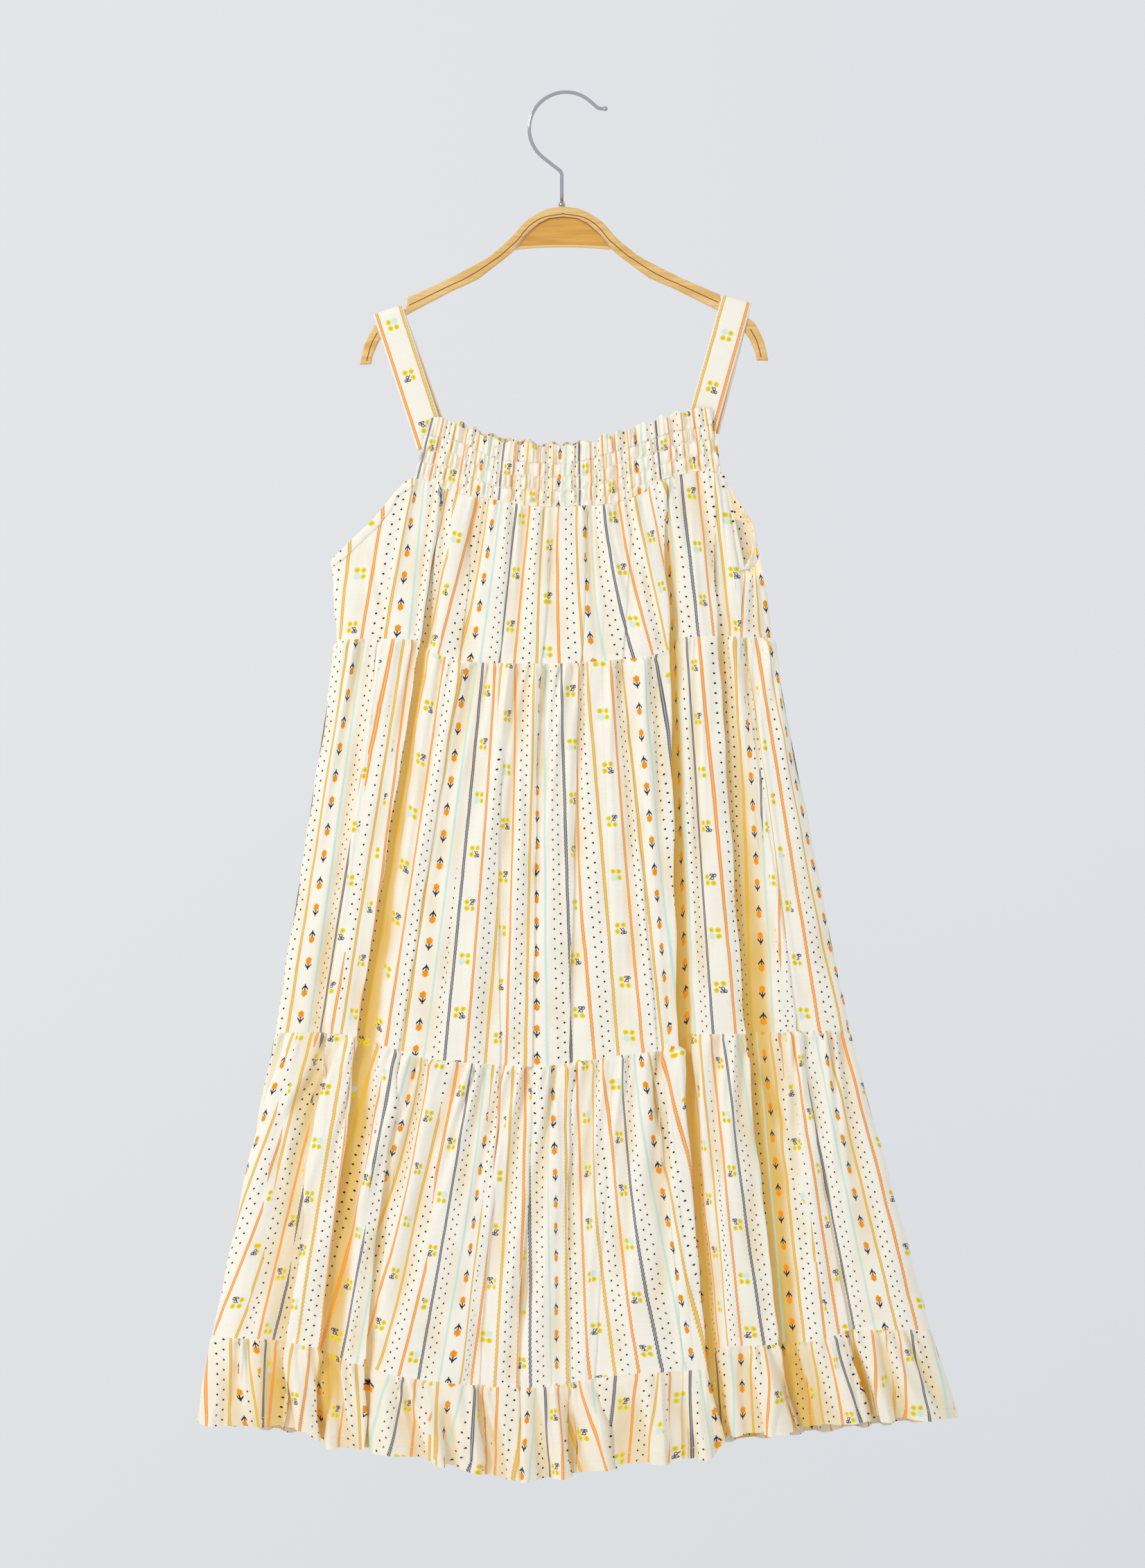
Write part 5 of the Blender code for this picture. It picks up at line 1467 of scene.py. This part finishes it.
def printed_sprigs(f, p, t, period):
    """Sprigs in two columns, of three kinds that alternate down the cloth."""
    second = p > 60.0
    x = p - 15.5 - second * 69.5
    in_column = f.under(abs(x), 12.5, 0.2)
    down = t + second * 41.0 + period * 77.0
    kind = ((down / MOTIF_REPEAT).sum("FLOOR")) % 3.0
    y = down % MOTIF_REPEAT - MOTIF_REPEAT / 2
    sx = x * (1 - 2 * (kind > 1.5))
    sy = y * (1 - 2 * ((kind > 0.5) * (kind < 1.5)))
    nearest = f.hypot(sx + 4.4, sy + 4.6).sum("MINIMUM", f.hypot(sx - 4.6, sy + 5.0))
    nearest = nearest.sum("MINIMUM", f.hypot(sx + 4.8, sy - 4.4))
    blossom = f.under(nearest, 3.7, 0.9) * in_column
    centre = f.under(nearest, 0.9, 0.6) * in_column
    loops = f.under(abs(f.hypot(sx - 3.4, sy - 2.2) - 2.0), 0.65, 0.3)
    loops = loops.sum("MAXIMUM", f.under(abs(f.hypot(sx - 6.6, sy - 6.2) - 1.9), 0.65, 0.3))
    loops = loops.sum("MAXIMUM", f.under(abs(f.hypot((sx - 2.6) / 1.6, sy - 7.0) - 1.3), 0.6, 0.3))
    stalk = f.under(abs(sx - sy + 0.6), 0.9, 0.3) * (f.hypot(sx - 3.6, sy - 3.6) < 6.2)
    sprig = loops.sum("MAXIMUM", stalk) * (1 - (kind > 1.5)) * in_column
    patch = f.under(f.hypot(sx - 4.0, sy - 4.0), 4.6, 1.6) * (kind > 1.5) * in_column
    return blossom, centre, sprig, patch


print("motifs: tulips and three kinds of sprig")

# %% [markdown]
# The cloth under the print is a plain weave: fine threads along and across, and a soft crinkle. A warm
# painted shade is mixed into the colour where the fold attribute is high. Thin cloth also lets light
# through. Here an emission, painted with the same attribute, stands for that light: a little in folds,
# and more on the inner side of the right armhole and the bindings.

# %% The printed cotton
def printed_cotton(name):
    """The dress's cloth: weave, painted warm shade in folds, print and painted light through it."""
    f = Finish(name)
    place = f.node("ShaderNodeUVMap", {"uv_map": "cloth"}).outputs[0]
    split = f.node("ShaderNodeSeparateXYZ", None, {0: place})
    s = Value(f, split.outputs[0]) / UNIT + (f.noise(place, 60.0) - 0.5) * 1.6  # printed a little unevenly
    t = Value(f, split.outputs[1]) / -UNIT
    p = s % REPEAT
    period = (s / REPEAT).sum("FLOOR")
    navy, orange, gold, mint = printed_lines(f, s, p)
    head, stem, leaf = printed_tulips(f, p, t, period)
    blossom, centre, sprig, patch = printed_sprigs(f, p, t, period)

    ink = 1.0 + 0.14 * (f.noise(place, 900.0) - 0.5)
    fold = f.node("ShaderNodeAttribute", {"attribute_name": "fold", "attribute_type": "GEOMETRY"})
    deep = Value(f, fold.outputs["Fac"])
    shade = abs(deep)
    slub = f.noise(f.drawn_out(place, 1.0, 0.12), 700.0)
    weft = f.noise(f.drawn_out(place, 0.12, 1.0), 700.0)
    thread = (slub + weft) * 0.5
    colour = f.mix(f.under(thread, 0.5, 0.22) * 0.30, tone("fffaec"), tone("f8eed8"))
    # Painted warm shade: the cloth turns golden where the fold attribute says it lies deep in a fold or a
    # trough, or is seen from inside.
    colour = f.mix(shade * 0.9, colour, tone("e3b950"))
    for mask, ink_tone, share in (
        (mint, "bfeadd", 0.70), (patch, "c8ece2", 0.65), (gold, "eebb3c", 0.95),
        (orange, "fca02c", 0.95), (navy, "27345a", 0.88), (printed_dots(f, p, t), "10131f", 1.0),
        (blossom, "f2d818", 1.0), (centre, "b8930f", 0.7), (sprig, "26304c", 0.92),
        (head, "f99a14", 1.0), (stem, "182038", 1.0), (leaf, "182038", 1.0),
    ):
        colour = f.mix(mask * ink * share, colour, tone(ink_tone))
    # Painted light: an emission of the cloth's own colour, a little in folds and more where the fold
    # attribute is below zero.
    glow = f.mix(shade * 0.06 + (shade - deep) * 0.42, (0.0, 0.0, 0.0, 1.0), colour)
    f.tree.links.new(glow, f.shader.inputs["Emission Color"])
    bump = f.noise(place, 170.0, 3.0, 0.55) + thread * 0.35
    return f.close(
        colour, 0.82, bump, 0.35, 0.0006,
        sheen_weight=0.05, sheen_roughness=0.5, specular_ior_level=0.15, emission_strength=1.0,
    )


cotton = printed_cotton("printed_cotton")
for piece in pieces.values():
    piece.data.materials.clear()
    piece.data.materials.append(cotton)
print("cotton nodes:", len(cotton.node_tree.nodes))

# %% [markdown]
# Thread is white and slightly glossy. The board is pale birch with long fine grain, and the web under
# the arch a darker amber, with a painted highlight along its lower edge. The groove is a dark brown
# strip, and the wire is plated.

# %% Thread, wood and wire
WEB_MIDDLE, WEB_BOW = -2.0, 382.5  # x of the web's middle and radius of its lower edge, in millimetres
# The web's pale lip is a painted highlight along its rounded lower edge, starting at the height below.
HIGHLIGHT_HEIGHT = -110.4  # z at the middle of the web where its pale lip starts


def speckled(name, tones, scale, share, rough, uneven, *bump, **constants):
    """A finish of two tones mixed by a fine noise, which also makes its relief."""
    f = Finish(name)
    speck = f.noise(f.object_place(), scale)
    colour = f.mix(speck * share, *(tone(text) for text in tones))
    return f.close(colour, rough + uneven * speck if uneven else rough, speck, *bump, **constants)


def wood(name, pale, dark, scale, edge_highlight=None):
    """Wood with fine grain along x, and a painted highlight along its lower edge where one is asked for.
    """
    f = Finish(name)
    place = f.object_place()
    grain = f.noise(f.drawn_out(place, 0.10, 1.0), scale, 5.0, 0.62)
    streak = f.noise(f.drawn_out(place, 0.03, 1.0), scale * 3.5)
    broad = f.noise(place, 22.0)
    share = f.under(grain, 0.52, 0.16) * 0.55 + f.under(streak, 0.45, 0.10) * 0.30 + broad * 0.25
    colour = f.mix(share, tone(pale), tone(dark))
    # Painted highlight: a pale strip along the web's bowed lower edge.
    if edge_highlight:  # a pale strip along the web's bowed lower edge
        part = f.node("ShaderNodeSeparateXYZ", None, {0: place})
        x, z = Value(f, part.outputs[0]) / MM, Value(f, part.outputs[2]) / MM
        bow = (x - WEB_MIDDLE) * (x - WEB_MIDDLE) / (2 * WEB_BOW)
        colour = f.mix(f.under(z + bow, HIGHLIGHT_HEIGHT, 0.4) * 0.8, colour, tone(edge_highlight))
    rough, relief = 0.42 + 0.18 * grain, grain + streak * 0.5
    return f.close(colour, rough, relief, 0.18, 0.0003, coat_weight=0.10, coat_roughness=0.35)


white_thread = speckled("white_thread", ("fbf8f0", "e9e2d2"), 4000.0, 0.5, 0.6, 0.0, 0.2, 0.00005)
birch = wood("birch_board", "f7d28e", "dda852", 150.0)
amber = wood("amber_web", "e9b04e", "ca8d36", 170.0, edge_highlight="f6d596")
# The groove strip is a plain dark brown.
groove_brown = speckled("dark_groove", ("7a4818", "9a6226"), 600.0, 1.0, 0.7, 0.0, 0.2, 0.0001)
chrome = speckled("plated_wire", ("bcbdc1", "96979b"), 300.0, 0.3, 0.06, 0.06, 0.05, 0.00005, metallic=1.0)
for made_of, finish in ((threads, white_thread), (grooves, groove_brown), ((hook, ferrule), chrome)):
    for piece in made_of:
        piece.data.materials.clear()
        piece.data.materials.append(finish)
for node, finish in (("hanger_bow", birch), ("hanger_web", amber)):
    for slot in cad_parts[node].material_slots:
        slot.material = finish
print("finishes:", len(bpy.data.materials))

# %% [markdown]
# The photograph is taken straight from the front, with soft light from the upper left and a pale grey
# surround. The floor is a pale disc well under the hem. The camera stands six metres away with a long
# lens, which shows hardly any perspective, as the photograph does.

# %% Light, floor and camera
FRAME_HEIGHT = 1143 * MM  # what the photograph shows from top to bottom, at the dress
AIM = (4.8 * MM, 0.0, -503.9 * MM)
DISTANCE, DRESS_FRONT = 6.0, 10 * MM
SENSOR = 24.0
world = bpy.data.worlds.new("studio")
bpy.context.scene.world = world
world.use_nodes = True
sky = world.node_tree
way = sky.nodes.new("ShaderNodeTexCoord")
split = sky.nodes.new("ShaderNodeSeparateXYZ")
sky.links.new(way.outputs["Generated"], split.inputs[0])


def sky_blend(socket, low, high, first, second):
    """Blends two colours as one part of the direction goes from low to high."""
    ramp = sky.nodes.new("ShaderNodeMapRange")
    ramp.inputs[1].default_value, ramp.inputs[2].default_value = low, high
    sky.links.new(socket, ramp.inputs[0])
    blend = sky.nodes.new("ShaderNodeMix")
    blend.data_type = "RGBA"
    sky.links.new(ramp.outputs[0], blend.inputs[0])
    for index, colour in ((6, first), (7, second)):
        if isinstance(colour, bpy.types.NodeSocket):
            sky.links.new(colour, blend.inputs[index])
        else:
            blend.inputs[index].default_value = colour
    return blend.outputs[2]


near_ground = sky_blend(split.outputs[0], -0.07, 0.07, (0.735, 0.755, 0.765, 1), (0.690, 0.715, 0.745, 1))
overhead = sky_blend(split.outputs[0], -0.07, 0.07, (0.775, 0.785, 0.800, 1), (0.735, 0.755, 0.790, 1))
surround = sky_blend(split.outputs[2], -0.10, 0.01, near_ground, overhead)
sky.links.new(surround, sky.nodes["Background"].inputs[0])
sky.nodes["Background"].inputs[1].default_value = 1.0


def lamp(name, place, size, power, colour=(1, 1, 1)):
    """A round area lamp that faces the dress."""
    light = bpy.data.lights.new(name, "AREA")
    light.shape, light.size, light.energy, light.color = "DISK", size, power, colour
    made = into_scene(name, light)
    made.location = place
    aim = Vector(AIM) - Vector(place)
    made.rotation_euler = aim.to_track_quat("-Z", "Y").to_euler()


lamp("key", (-2.1, -2.3, 0.7), 0.8, 29.0, (1.0, 0.985, 0.96))
lamp("back_left", (-1.6, 2.4, 0.6), 1.2, 14.0)
bpy.ops.object.select_all(action="DESELECT")
bpy.ops.mesh.primitive_circle_add(vertices=128, radius=0.85, fill_type="NGON", location=(0, 0, -1.33))
floor = bpy.context.object
floor.name = "floor"
pale = Finish("pale_floor")
patches = pale.noise(pale.object_place(), 8.0)
floor.data.materials.append(pale.close(pale.mix(patches * 0.2, tone("e8e8ea"), tone("dcdde0")), 0.8))

# %% The camera
camera = into_scene("camera", bpy.data.cameras.new("camera"))
camera.location = (AIM[0], -DISTANCE, AIM[2])
camera.rotation_euler = (math.pi / 2, 0, 0)
camera.data.sensor_fit = "VERTICAL"
camera.data.sensor_height = SENSOR
camera.data.lens = SENSOR * (DISTANCE - DRESS_FRONT) / FRAME_HEIGHT
bpy.context.scene.camera = camera
bpy.context.scene.view_settings.view_transform = "Standard"
print("lens:", round(camera.data.lens, 1), "mm")
